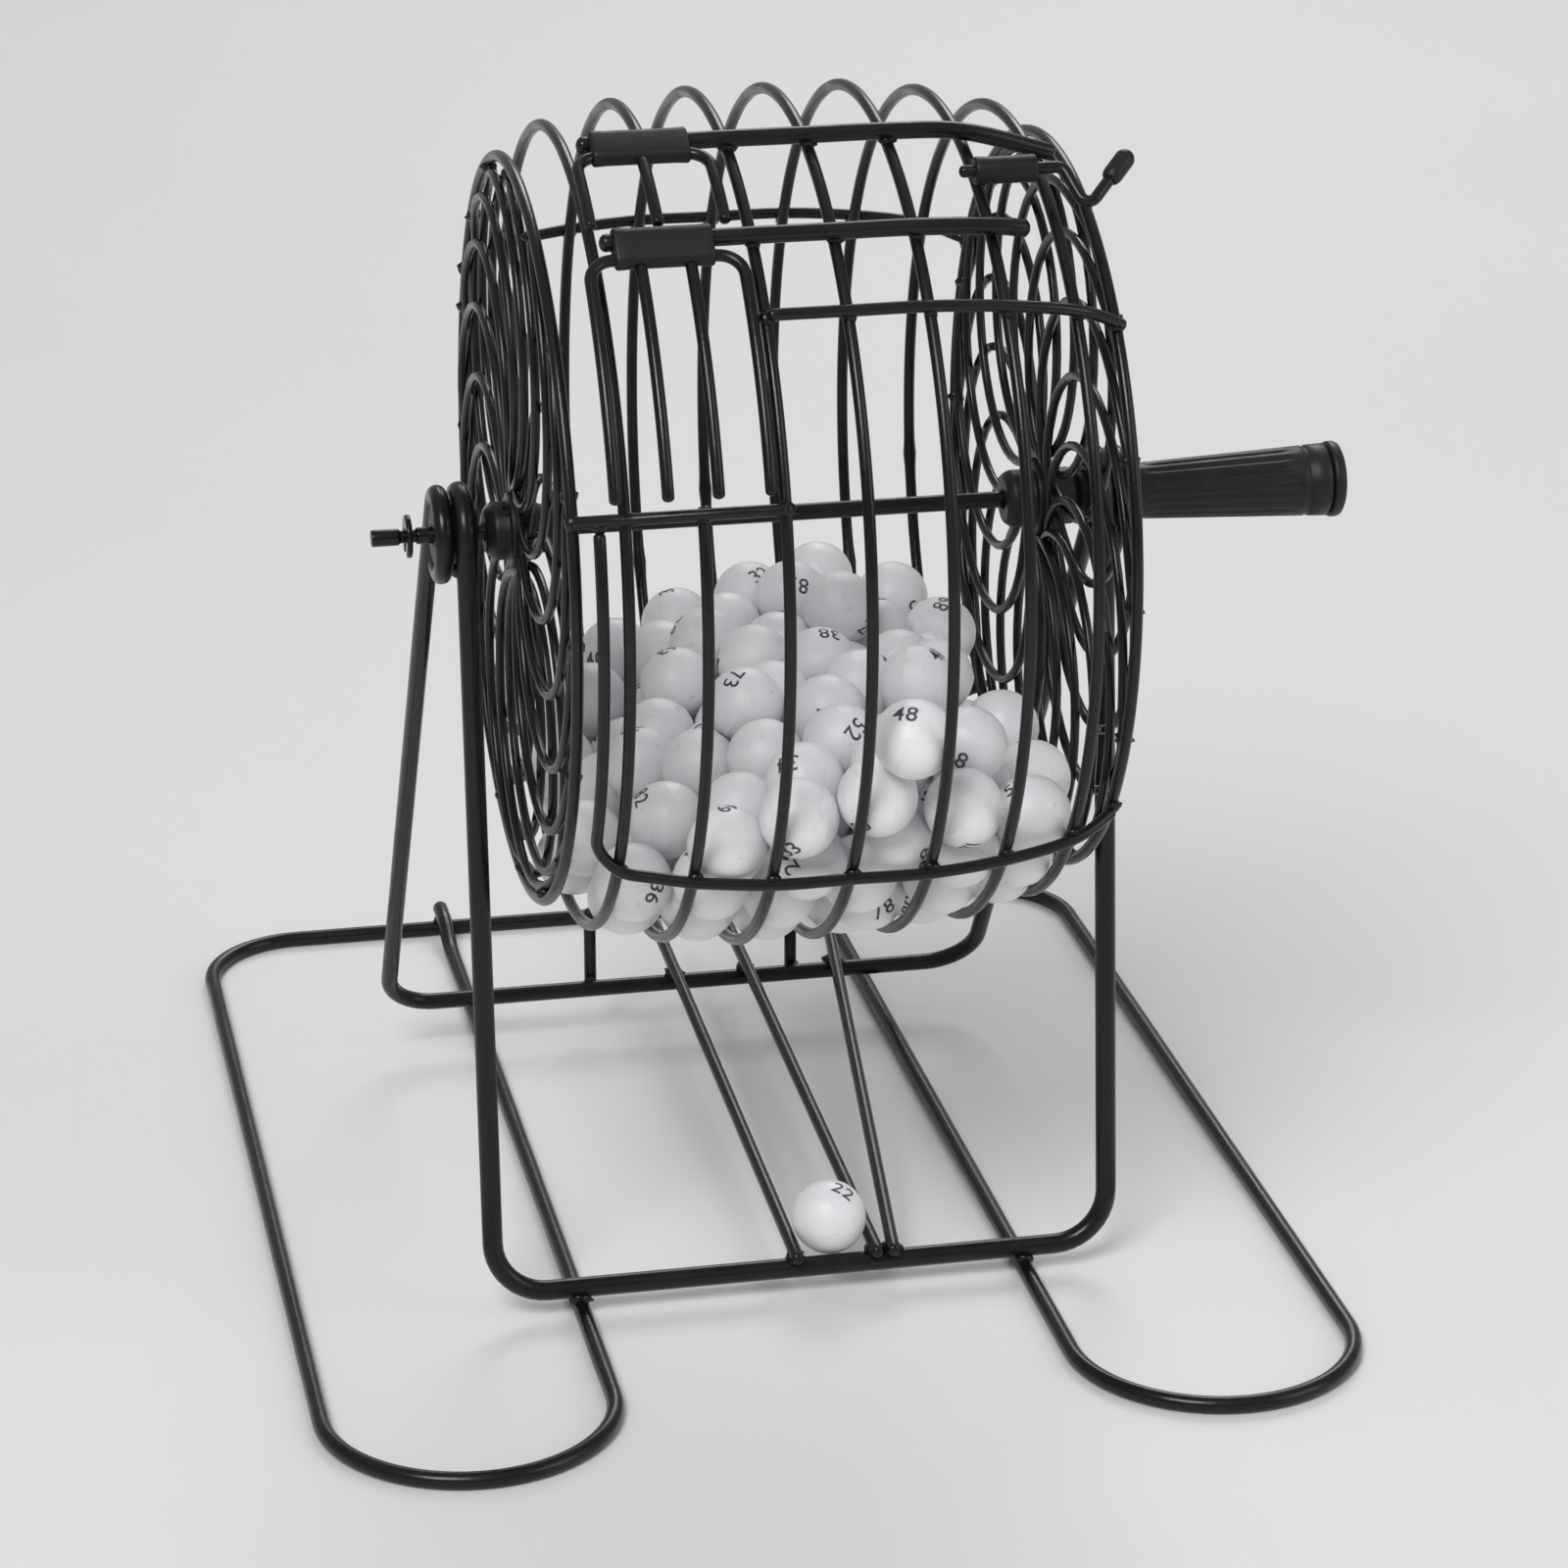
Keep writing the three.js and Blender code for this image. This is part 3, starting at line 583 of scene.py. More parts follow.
STAVE_LIFT = 2 * HOOP_WIRE - WELD_SINK


def stave(first_hoop, last_hoop, angle):
    """A wire along the drum, welded outside the hoops from the first to the last."""
    xs = HOOP_X[first_hoop : last_hoop + 1]
    stations = [on_drum(x, angle, hoop_radius(x) + STAVE_LIFT) for x in xs]
    for x in xs:
        contact = on_drum(x, angle, hoop_radius(x) + STAVE_LIFT / 2)
        weld(drum_welds, contact, on_drum(0, angle, 1), STAVE_WELD)
    return smooth_curve(stations)


def lower_stave():
    """The lower front stave, which comes down from the sill and turns to run along the drum."""
    along = stave(2, 8, LOWER_STAVE_ANGLE)
    corner = []
    for turn in np.radians(np.linspace(0, 90, 13)):
        x = UPRIGHT_X + STAVE_BEND * (1 - math.cos(turn))
        outer = hoop_radius(x) + STAVE_LIFT
        rise = math.degrees(STAVE_BEND * (1 - math.sin(turn)) / outer)
        corner.append(on_drum(x, LOWER_STAVE_ANGLE + rise, outer))
    outer = hoop_radius(UPRIGHT_X) + STAVE_LIFT
    high = DOOR_SILL_ANGLE - math.degrees(STAVE_LIFT / outer)
    low = LOWER_STAVE_ANGLE + math.degrees(STAVE_BEND / outer)
    upright = [on_drum(UPRIGHT_X, a, outer) for a in np.linspace(high, low, 24, endpoint=False)]
    weld(drum_welds, on_drum(UPRIGHT_X, high + 0.8, outer), on_drum(0, high, 1), SILL_WELD)
    crossing = on_drum(HOOP_X[1], LOWER_STAVE_ANGLE, hoop_radius(HOOP_X[1]) + STAVE_LIFT / 2)
    weld(drum_welds, crossing, on_drum(0, LOWER_STAVE_ANGLE, 1), CORNER_WELD)
    return upright + corner + along


staves = {"stave_front_upper": stave(3, 8, UPPER_STAVE_ANGLE), "stave_front_lower": lower_stave()}
staves["door_sill"] = stave(0, 3, DOOR_SILL_ANGLE)
for node, angle in REAR_STAVE_ANGLES.items():
    staves[node] = stave(0, 8, angle)
for node, points in staves.items():
    stand_for(node, tube_shell(points, HOOP_WIRE), DRUM_WIRE)

# ---- drum: hinge rods, flaps, latch

HINGE_RADIUS = HOOP_RADIUS[2] + HOOP_WIRE + GAP + SLEEVE_RADIUS
sleeve_left = FLAP_MIDDLE - SLEEVE_LENGTH / 2
sleeve_right = FLAP_MIDDLE + SLEEVE_LENGTH / 2


def hinge_rod(angle, last_x):
    """A thick rod along the drum, clear of it in the sleeve and welded to the three middle hoops."""
    middle = HOOP_RADIUS[4] + HOOP_WIRE + ROD_WIRE - WELD_SINK
    end = hoop_radius(last_x) + HOOP_WIRE + ROD_WIRE
    stations = [[x, HINGE_RADIUS] for x in (sleeve_left - 2.5, FLAP_MIDDLE, sleeve_right + 1)]
    stations += [[x, middle] for x in HOOP_X[3:6]]
    stations += [[HOOP_X[6], HINGE_RADIUS - 0.9], [last_x, end + 0.9]]
    for x in HOOP_X[3:6]:
        weld(drum_welds, on_drum(x, angle, HOOP_RADIUS[4] + HOOP_WIRE), on_drum(0, angle, 1), ROD_WELD)
    return smooth_curve([on_drum(x, angle, radius) for x, radius in stations])


for node, angle, last_x in (("gate_hinge_rod", GATE_ROD_ANGLE, 52), ("door_hinge_rod", DOOR_ROD_ANGLE, 40)):
    stand_for(node, tube_shell(hinge_rod(angle, last_x), ROD_WIRE, 18), DRUM_WIRE)


def arc_degrees(length):
    """The angle of an arc of this length round the drum, at the hinges' radius."""
    return math.degrees(length / HINGE_RADIUS)


BAR_DROP = arc_degrees(SLEEVE_RADIUS + GAP + HOOP_WIRE)


def flap_frame(half_width, rod_angle, low_angle):
    """An upside-down U of wire that lies round the drum: two legs joined under the sleeve by a bar."""
    top = rod_angle - BAR_DROP
    left = FLAP_MIDDLE - half_width
    half = []
    for angle in np.linspace(low_angle, top - arc_degrees(FLAP_BEND), 12, endpoint=False):
        half.append((left, angle))
    for turn in np.radians(np.linspace(0, 90, 11)):
        half.append((left + FLAP_BEND * (1 - math.cos(turn)),
                     top - arc_degrees(FLAP_BEND * (1 - math.sin(turn)))))
    mirrored = [(2 * FLAP_MIDDLE - x, angle) for x, angle in reversed(half)]
    return [on_drum(x, angle, HINGE_RADIUS) for x, angle in half + mirrored]


def flap_bar(x, rod_angle, low_angle):
    """An upright bar that closes a flap, welded under its top bar."""
    top = rod_angle - BAR_DROP - arc_degrees(STAVE_LIFT)
    return [on_drum(x, angle, HINGE_RADIUS) for angle in np.linspace(low_angle, top + 0.4, 14)]


door_low = DOOR_SILL_ANGLE + arc_degrees(2 * HOOP_WIRE + GAP)
gate_low = DOOR_ROD_ANGLE + arc_degrees(SLEEVE_RADIUS + GAP + 0.6)
flap_wires = {
    "door_frame": flap_frame(DOOR_HALF_WIDTH, DOOR_ROD_ANGLE, door_low),
    "gate_frame": flap_frame(GATE_HALF_WIDTH, GATE_ROD_ANGLE, gate_low),
    "door_bar_1": flap_bar(FLAP_MIDDLE - DOOR_BAR_OFFSET, DOOR_ROD_ANGLE, door_low),
    "door_bar_2": flap_bar(FLAP_MIDDLE + DOOR_BAR_OFFSET, DOOR_ROD_ANGLE, door_low),
    "gate_bar": flap_bar(FLAP_MIDDLE, GATE_ROD_ANGLE, gate_low),
}
for node, points in flap_wires.items():
    stand_for(node, tube_shell(points, HOOP_WIRE), DRUM_WIRE)


def sleeve_shell(x0, x1, angle, radius, bore, second=None):
    """A plastic sleeve round a rod; second is the angle of a bar that the sleeve's wall also wraps."""
    centre = on_drum(0, angle, radius)
    circles = [(np.zeros(3), SLEEVE_RADIUS)]
    if second is not None:
        circles.append((on_drum(0, second, radius) - centre, HOOP_WIRE + 0.8))
    around = np.arange(SLEEVE_SIDES) * 2 * math.pi / SLEEVE_SIDES
    directions = np.stack([np.zeros(SLEEVE_SIDES), np.cos(around), np.sin(around)], 1)

    def outline(shrink):
        ring = []
        for d in directions:
            best = max(circles, key=lambda c: c[0] @ d + c[1])
            ring.append(best[0] + (best[1] - shrink) * d)
        return np.array(ring)

    edge = []
    for turn in np.linspace(0, math.pi / 2, 5):
        edge.append((SLEEVE_EDGE * (1 - math.cos(turn)), outline(SLEEVE_EDGE * (1 - math.sin(turn)))))
    rings = [(x0 + inset, ring) for inset, ring in edge]
    rings += [(x, outline(0.12)) for x in np.linspace(x0 + 3, x1 - 3, 6)]
    rings += [(x1 - inset, ring) for inset, ring in reversed(edge)]
    rings += [(x, bore * directions) for x in (x1, x1 - 1.5, x0 + 1.5, x0)]
    verts = np.vstack([ring + centre + np.array([x, 0, 0]) for x, ring in rings])
    return verts, ring_faces(len(rings), SLEEVE_SIDES, closed=True)


for node, angle in (("door_sleeve", DOOR_ROD_ANGLE), ("gate_sleeve", GATE_ROD_ANGLE)):
    shell = sleeve_shell(sleeve_left, sleeve_right, angle, HINGE_RADIUS, ROD_WIRE + 0.2, angle - BAR_DROP)
    stand_for(node, shell, FITTING)

latch_radius = hoop_radius(LATCH_SLEEVE_LEFT) + HOOP_WIRE + GAP + SLEEVE_RADIUS
latch_shell = sleeve_shell(LATCH_SLEEVE_LEFT, LATCH_SLEEVE_RIGHT, LATCH_ANGLE, latch_radius, HOOP_WIRE + 0.2)
stand_for("latch_sleeve", latch_shell, FITTING)
latch_corners = [
    on_drum(LATCH_SLEEVE_LEFT - 3, LATCH_ANGLE, latch_radius),
    on_drum(LATCH_SLEEVE_RIGHT + 5.5, LATCH_ANGLE, latch_radius),
    on_drum(LATCH_SLEEVE_RIGHT + 9, LATCH_ANGLE - 6, latch_radius - 3),
    on_drum(LATCH_SLEEVE_RIGHT + 15, LATCH_ANGLE - 2, latch_radius - 0.5),
]
stand_for("latch_lever", tube_shell(bend_wire(latch_corners, 2), HOOP_WIRE), DRUM_WIRE)


def aim(shell, direction, place):
    """Turns a shell made along X to point in a direction, and moves it."""
    verts, faces = shell
    turn = np.array(Vector((1, 0, 0)).rotation_difference(Vector(direction)).to_matrix())
    return verts @ turn.T + place, faces


tip_direction = unit(latch_corners[3] - latch_corners[2])
tip_start = latch_corners[3] + tip_direction * GAP
tip_profile = rounded([[-1.2, 0], [-1.2, 1.7], [0, 2.1], [5.2, 2.1], [6.5, 1.2], [6.5, 0]], 0.6)
stand_for("latch_tip", aim(turned_shell(tip_profile, 28), tip_direction, tip_start), FITTING)

# ---- axle, hubs and grip

AXLE_RADIUS = 1.8
AXLE_LEFT_END = -88
AXLE_IN_GRIP = 28  # how far the axle reaches into the grip
HUB_LEFT_END = -64
HUB_BORE = 2.1
BOSS_RADIUS = 6.2
BOSS_LIP = 5.0
BOSS_INSET = 6
# the end coils sit round the flanges
FLANGE_RADIUS = COIL_CENTRE_RADIUS - COIL_LOOP_RADIUS - COIL_WIRE + 0.05
FLANGE_HALF_WIDTH = 2
SHANK_RADIUS = 4.9
SCREW_X = -59.5
SCREW_DIRECTION = np.array([0, -0.5, 0.87])
GRIP_START = 75.2
GRIP_END = 124
GRIP_BORE_DEPTH = 30.3
GRIP_SMALL_RADIUS = 5.9
GRIP_LARGE_RADIUS = 7.9
FLUTES = 18
FLUTE_DEPTH = 0.42
boss_start = HOOP_X[8] - COIL_REACH - COIL_WIRE - BOSS_INSET
flange_start = HOOP_X[8] - FLANGE_HALF_WIDTH
flange_end = HOOP_X[8] + FLANGE_HALF_WIDTH

axle_profile = [[AXLE_LEFT_END, 0], [AXLE_LEFT_END, AXLE_RADIUS],
                [-82.2, AXLE_RADIUS], [-81.9, 1.35], [-78.6, 1.35], [-78.3, AXLE_RADIUS],
                [GRIP_START + AXLE_IN_GRIP, AXLE_RADIUS], [GRIP_START + AXLE_IN_GRIP, 0]]
stand_for("axle", turned_shell(rounded(axle_profile, 0.4), 28), AXLE_WIRE)

hub_profile = [[HUB_LEFT_END, HUB_BORE], [HUB_LEFT_END, 4.4], [-62, BOSS_RADIUS], [-flange_end, BOSS_RADIUS],
               [-flange_end, FLANGE_RADIUS], [-flange_start, FLANGE_RADIUS], [-flange_start, BOSS_RADIUS],
               [-53.5, BOSS_RADIUS], [-52, 5.2], [-boss_start, BOSS_LIP], [-boss_start, HUB_BORE]]
hub_shell = turned_shell(rounded(hub_profile, 0.5, closed=True), 40, closed=True)
screw_profile = rounded([[-0.6, 0], [-0.6, 1.5], [0.5, 1.5], [0.5, 0.75], [-0.3, 0.65], [-0.3, 0]], 0.15)
screw_place = SCREW_DIRECTION * BOSS_RADIUS + [SCREW_X, 0, 0]
screw_shell = aim(turned_shell(screw_profile, 20), SCREW_DIRECTION, screw_place)
stand_for("hub_left", join_shells([hub_shell, screw_shell]), FITTING)

shank_profile = [[boss_start, HUB_BORE], [boss_start, BOSS_LIP], [boss_start + 1.6, BOSS_RADIUS],
                 [flange_start, BOSS_RADIUS], [flange_start, FLANGE_RADIUS], [flange_end, FLANGE_RADIUS],
                 [flange_end, BOSS_RADIUS], [63.5, BOSS_RADIUS], [65, SHANK_RADIUS],
                 [GRIP_START - 1.2, SHANK_RADIUS], [GRIP_START - 0.3, SHANK_RADIUS - 0.3],
                 [GRIP_START - 0.3, HUB_BORE]]
shank_shell = turned_shell(rounded(shank_profile, 0.5, closed=True), 48, closed=True)
stand_for("handle_shank", shank_shell, GRIP)

cap_seat = GRIP_END - 3


def grip_radius(x):
    """Radius of the grip, which widens towards its end."""
    share = (x - GRIP_START) / (cap_seat - GRIP_START)
    return GRIP_SMALL_RADIUS + (GRIP_LARGE_RADIUS - GRIP_SMALL_RADIUS) * share


def fluted(x, turn, radius):
    """Shallow flutes along the grip that fade out at both ends."""
    fade = np.clip((x - GRIP_START - 4) / 3, 0, 1) * np.clip((cap_seat - 7.5 - x) / 3, 0, 1)
    return radius - FLUTE_DEPTH * fade * (0.5 + 0.5 * math.cos(FLUTES * turn)) ** 2


grip_profile = [[GRIP_START, HUB_BORE], [GRIP_START, 4.9], [GRIP_START + 0.3, 5.4], [GRIP_START + 1.0, 5.95]]
for x in np.linspace(GRIP_START + 2.2, cap_seat - 5.6, 34):
    grip_profile.append([x, grip_radius(x)])
collar = grip_radius(cap_seat - 4)
grip_profile += [[cap_seat - 5.2, collar - 0.5], [cap_seat - 4.7, collar - 0.5], [cap_seat - 4.3, collar],
                 [cap_seat - 0.6, grip_radius(cap_seat)], [cap_seat, grip_radius(cap_seat) - 0.4],
                 [cap_seat, 0], [GRIP_START + GRIP_BORE_DEPTH, 0], [GRIP_START + GRIP_BORE_DEPTH, HUB_BORE]]
grip_shell = turned_shell(grip_profile, FLUTES * 8, closed=True, shape=fluted)
stand_for("handle_grip", grip_shell, GRIP)

cap_radius = GRIP_LARGE_RADIUS + 0.35
cap_profile = [[cap_seat + 0.15, 0], [cap_seat + 0.15, cap_radius - 0.5],
               [cap_seat + 0.35, cap_radius - 0.15], [cap_seat + 0.8, cap_radius]]
for inset, drop in ([1.1, 0], [0.45, 0.3], [0.1, 0.95], [0, 1.8], [0.1, 2.4], [0.5, 2.9], [0.6, 4.2]):
    cap_profile.append([GRIP_END - inset, cap_radius - drop])
cap_profile.append([GRIP_END - 0.6, 0])
stand_for("handle_end_cap", turned_shell(cap_profile, 72), GRIP)

CLIP_X = -REAR_LEG_X - 6
CLIP_WIDTH = 1.2
CLIP_INNER = 1.9
CLIP_OUTER = 4.6


def clip_shell():
    """A sprung C of flat steel that snaps into the groove of the axle."""
    corners = [[-CLIP_WIDTH, CLIP_INNER], [-CLIP_WIDTH, CLIP_OUTER], [0, CLIP_OUTER], [0, CLIP_INNER]]
    section = rounded(corners, 0.3, 2, closed=True)
    sweep = np.radians(np.linspace(-62, 242, 41))
    count = len(section)
    verts = []
    for turn in sweep:
        for dx, radius in section:
            verts.append([CLIP_X + dx, radius * math.cos(turn), radius * math.sin(turn)])
    faces = ring_faces(len(sweep), count)
    faces.append(tuple(range(count)))
    faces.append(tuple(range(len(verts) - 1, len(verts) - 1 - count, -1)))
    return np.array(verts, float), faces


stand_for("axle_clip", clip_shell(), AXLE_WIRE)

# ---- stand


def eye(x, radius, start, end):
    """The wire of an eye round the axle, between two angles."""
    turns = np.radians(np.linspace(start, end, 44))
    return [np.array([x, radius * math.cos(t), radius * math.sin(t)]) for t in turns]


def leg_frame(half_width, eye_radius, eye_turns, bar_y, bar_z):
    """Two legs and a cross bar in one wire, with an eye at the top of each leg."""
    start, end = eye_turns
    left = eye(-half_width, eye_radius, start, end)
    top = left[-1]
    corners = [top, [-half_width, bar_y, bar_z], [half_width, bar_y, bar_z], [half_width, top[1], top[2]]]
    right = eye(half_width, eye_radius, end, start)
    return left[:-1] + bend_wire(corners, LEG_BEND) + right[1:]


foot_rise = FOOT_WIRE * math.cos(math.pi / 8)
base_bar_height = foot_rise + FOOT_WIRE + GAP + POST_WIRE
front_frame = leg_frame(POST_X, EYE_RADIUS, FRONT_EYE_TURNS, BASE_BAR_Y, base_bar_height - AXLE_HEIGHT)
rear_bar_z = REAR_BAR_HEIGHT - AXLE_HEIGHT
rear_frame = leg_frame(REAR_LEG_X, REAR_EYE_RADIUS, REAR_EYE_TURNS, REAR_BAR_Y, rear_bar_z)
stand_for("front_frame", tube_shell(front_frame, POST_WIRE, 20), STAND_WIRE)
stand_for("rear_frame", tube_shell(rear_frame, REAR_LEG_WIRE, 20), STAND_WIRE)

bush_outer = EYE_RADIUS - POST_WIRE - GAP
bush_inner = POST_X - POST_WIRE - 0.8
bush_end = REAR_LEG_X + REAR_LEG_WIRE - 0.6
for node, x0, x1, bore in (("axle_bush_left", -bush_end, -bush_inner, AXLE_RADIUS + 0.35),
                           ("axle_bush_right", bush_inner + 0.8, bush_end - 0.6, SHANK_RADIUS + 0.35)):
    profile = rounded([[x0, bore], [x0, bush_outer - 0.1], [x0 + 1, bush_outer], [x1 - 1, bush_outer],
                       [x1, bush_outer - 0.1], [x1, bore]], 0.35, closed=True)
    stand_for(node, turned_shell(profile, 40, closed=True), FITTING)


def foot_frame():
    """One wire flat on the floor: along the back, forward down each side, round, and back under the drum."""
    turn_radius = (FOOT_OUTER_X - FOOT_INNER_X) / 2
    turn_y = FOOT_FRONT_Y + FOOT_WIRE + turn_radius
    over_rear = foot_rise + 2 * FOOT_WIRE
    climb = [[-5, over_rear], [0, over_rear], [5, over_rear - 0.6], [14, foot_rise + 0.5], [20, foot_rise],
             [30, foot_rise]]
    left = smooth_curve([[-FOOT_INNER_X, FOOT_REAR_Y - forward, height] for forward, height in climb], 6)
    for turn in np.radians(np.linspace(0, 180, 41)):
        x = -(FOOT_INNER_X + turn_radius) + turn_radius * math.cos(turn)
        left.append(np.array([x, turn_y - turn_radius * math.sin(turn), foot_rise]))
    for turn in np.radians(np.linspace(0, 90, 17)):
        x = -FOOT_OUTER_X + FOOT_CORNER * (1 - math.cos(turn))
        left.append(np.array([x, FOOT_REAR_Y - FOOT_CORNER * (1 - math.sin(turn)), foot_rise]))
    right = [p * np.array([-1, 1, 1]) for p in reversed(left)]
    return left + right


def from_floor(points):
    """The same points with their heights measured from the axle line, not the floor."""
    return [np.array(p, float) - np.array([0, 0, AXLE_HEIGHT]) for p in points]


stand_for("foot_frame", tube_shell(from_floor(foot_frame()), FOOT_WIRE, 20), STAND_WIRE)

rail_rear_height = REAR_BAR_HEIGHT + REAR_LEG_WIRE + GAP + RAIL_WIRE
rail_front_height = base_bar_height + POST_WIRE + GAP + RAIL_WIRE
rail_fall = (rail_rear_height - rail_front_height) / (REAR_BAR_Y - BASE_BAR_Y)


def rail_height(y):
    """Height of a rail's middle line above the floor, before it is pressed into the bars."""
    return rail_front_height + rail_fall * (y - BASE_BAR_Y)


for i, (front_x, rear_x) in enumerate(zip(RAIL_FRONT_X, RAIL_REAR_X)):
    points = []
    for share in np.linspace(0, 1, 24):
        y = RAIL_REAR_Y + share * (RAIL_FRONT_Y - RAIL_REAR_Y)
        points.append([rear_x + share * (front_x - rear_x), y, rail_height(y) - RAIL_SINK])
    rail = tube_shell(from_floor(points), RAIL_WIRE, 16)
    stand_for(f"chute_rail_{i + 1}", rail, STAND_WIRE)
    for y in (REAR_BAR_Y, BASE_BAR_Y):
        x = np.interp(y, [RAIL_FRONT_Y, RAIL_REAR_Y], [front_x, rear_x])
        place = from_floor([[x, y, rail_height(y) - RAIL_WIRE]])[0]
        weld(stand_welds, place, UPWARD, RAIL_WELD, RAIL_WELD_LENGTH)

prong_y = REAR_BAR_Y + REAR_LEG_WIRE + RAIL_WIRE
for i, x in enumerate(PRONG_X):
    heights = np.linspace(REAR_BAR_HEIGHT - 3, REAR_BAR_HEIGHT + PRONG_HEIGHT, 12)
    points = from_floor([[x, prong_y, z] for z in heights])
    stand_for(f"chute_prong_{i + 1}", tube_shell(points, RAIL_WIRE, 16), STAND_WIRE)
    place = from_floor([[x, REAR_BAR_Y + REAR_LEG_WIRE, REAR_BAR_HEIGHT]])[0]
    weld(stand_welds, place, np.array([0, 1.0, 0]), PRONG_WELD)

for side in (-1, 1):
    for y, lift, size in FOOT_WELDS:
        crossing = from_floor([[side * FOOT_INNER_X, y, foot_rise + FOOT_WIRE + lift]])[0]
        weld(stand_welds, crossing, UPWARD, size)

add_piece("drum_welds", join_shells(drum_welds), DRUM_WIRE, "drum")
add_piece("stand_welds", join_shells(stand_welds), STAND_WIRE, "stand")

# ---- balls

BALL_START_X = 44  # the balls start at random places in a cloud of this size
BALL_START_RADIUS = 70
BALL_FALL = 0.9  # first step of the fall
BALL_SETTLE_STEPS = 700
BALL_REST_STEPS = 400
BALL_PUSH = 1.25  # share of the mean move that one step makes
BALL_END_X = HOOP_X[8] - COIL_REACH - COIL_WIRE - BALL_RADIUS - 0.2
AXLE_CLEARANCE = AXLE_RADIUS + BALL_RADIUS + 0.4


def push_apart(centres, pull):
    """One relaxation step of the balls against each other, the drum, its ends and the axle."""
    centres = centres + pull
    apart = centres[:, None] - centres[None]
    distance = np.linalg.norm(apart, axis=2) + np.eye(len(centres)) * 1e3
    overlap = np.maximum(2 * BALL_RADIUS + BALL_GAP - distance, 0)
    moves = (apart / distance[..., None] * overlap[..., None] * 0.5).sum(1)
    counts = (overlap > 0).sum(1)
    out = np.hypot(centres[:, 1], centres[:, 2])
    radial = np.stack([np.zeros(len(centres)), centres[:, 1] / out, centres[:, 2] / out], 1)
    for x, radius in zip(HOOP_X, HOOP_RADIUS):  # each hoop's wire
        dx, dr = centres[:, 0] - x, out - radius
        reach = np.hypot(dx, dr)
        depth = np.maximum(BALL_RADIUS + HOOP_WIRE + BALL_TO_HOOP_GAP - reach, 0)
        moves[:, 0] += depth * dx / reach
        moves += radial * (depth * dr / reach)[:, None]
        counts += depth > 0
    limit = np.interp(centres[:, 0], HOOP_X, HOOP_RADIUS) - BALL_RADIUS + BALL_BULGE
    depth = np.maximum(out - limit, 0)
    moves -= radial * depth[:, None]
    counts += depth > 0
    depth = np.maximum(AXLE_CLEARANCE - out, 0)
    moves += radial * depth[:, None]
    counts += depth > 0
    centres = centres + moves / np.maximum(counts, 1)[:, None] * BALL_PUSH
    centres[:, 0] = np.clip(centres[:, 0], -BALL_END_X, BALL_END_X)
    return centres


def pack_balls(count):
    """Lets the balls settle in the drum into a heap with a crest, lowest at the grip's end."""
    dice = np.random.default_rng(23)
    turn = dice.uniform(0, 2 * math.pi, count)
    out = BALL_START_RADIUS * np.sqrt(dice.uniform(0.04, 1, count))
    along = dice.uniform(-BALL_START_X, BALL_START_X, count)
    centres = np.stack([along, out * np.cos(turn), out * np.sin(turn)], 1)
    for step in range(BALL_SETTLE_STEPS):
        fall = BALL_FALL * (1 - step / BALL_SETTLE_STEPS) ** 1.5
        side = 1 / (1 + np.exp(-(centres[:, 0] - HEAP_CREST_X) / HEAP_CREST_WIDTH))
        lean = HEAP_RISE_LEFT * (1 - side) - HEAP_FALL_RIGHT * side
        down = np.stack([lean, np.zeros(count), -np.ones(count)], 1)
        centres = push_apart(centres, down * fall)
        for _ in range(2):
            centres = push_apart(centres, 0)
    banked = (centres[:, 1] > HEAP_BACK_Y) & (centres[:, 2] > HEAP_BACK_LEVEL)
    centres = centres[~banked]
    for _ in range(BALL_REST_STEPS):
        centres = push_apart(centres, 0)
    return centres


PARTING_RIDGE = 0.07
PARTING_WIDTH = 1.3  # in degrees of latitude


def ball_shell():
    """One ball: a sphere with a faint parting line and a small moulding mark at one pole."""
    upper = [80, 70, 60, 50, 40, 30, 21, 13, 7, 3, 1.2]
    profile = [[BALL_RADIUS, 0]]
    for latitude in [*upper, 0, *(-latitude for latitude in reversed(upper))]:
        ridge = PARTING_RIDGE * math.exp(-((latitude / PARTING_WIDTH) ** 2))
        size = BALL_RADIUS + ridge
        angle = math.radians(latitude)
        profile.append([size * math.sin(angle), size * math.cos(angle)])
    profile.append([-BALL_RADIUS + 0.25, 0.6])
    profile.append([-BALL_RADIUS + 0.35, 0])
    return turned_shell(profile, 36)


def digit_shells():
    """The ten digits as thin closed letters, cut finely enough to wrap round a ball."""
    shells = {}
    for digit in "0123456789":
        text = bpy.data.curves.new("digit", "FONT")
        text.body = digit
        text.size = 1
        text.offset = 0.006
        text.extrude = 0.5
        text.resolution_u = 3
        holder = bpy.data.objects.new("digit", text)
        scene.collection.objects.link(holder)
        bpy.context.view_layer.update()
        finished = holder.evaluated_get(bpy.context.evaluated_depsgraph_get())
        mesh = bpy.data.meshes.new_from_object(finished)
        bpy.data.objects.remove(holder)
        work = bmesh.new()
        work.from_mesh(mesh)
        bmesh.ops.remove_doubles(work, verts=work.verts, dist=1e-4)
        for axis in (0, 1):
            for cut in np.arange(-0.1, 1.1, 0.16):
                normal = np.eye(3)[axis]
                everything = work.verts[:] + work.edges[:] + work.faces[:]
                bmesh.ops.bisect_plane(work, geom=everything, plane_co=normal * cut, plane_no=normal)
        verts = np.array([v.co for v in work.verts], float)
        faces = [tuple(v.index for v in f.verts) for f in work.faces]
        work.free()
        bpy.data.meshes.remove(mesh)
        low, high = verts.min(0), verts.max(0)
        verts[:, 0] -= low[0]
        shells[digit] = (verts, faces, high[0] - low[0])
    return shells


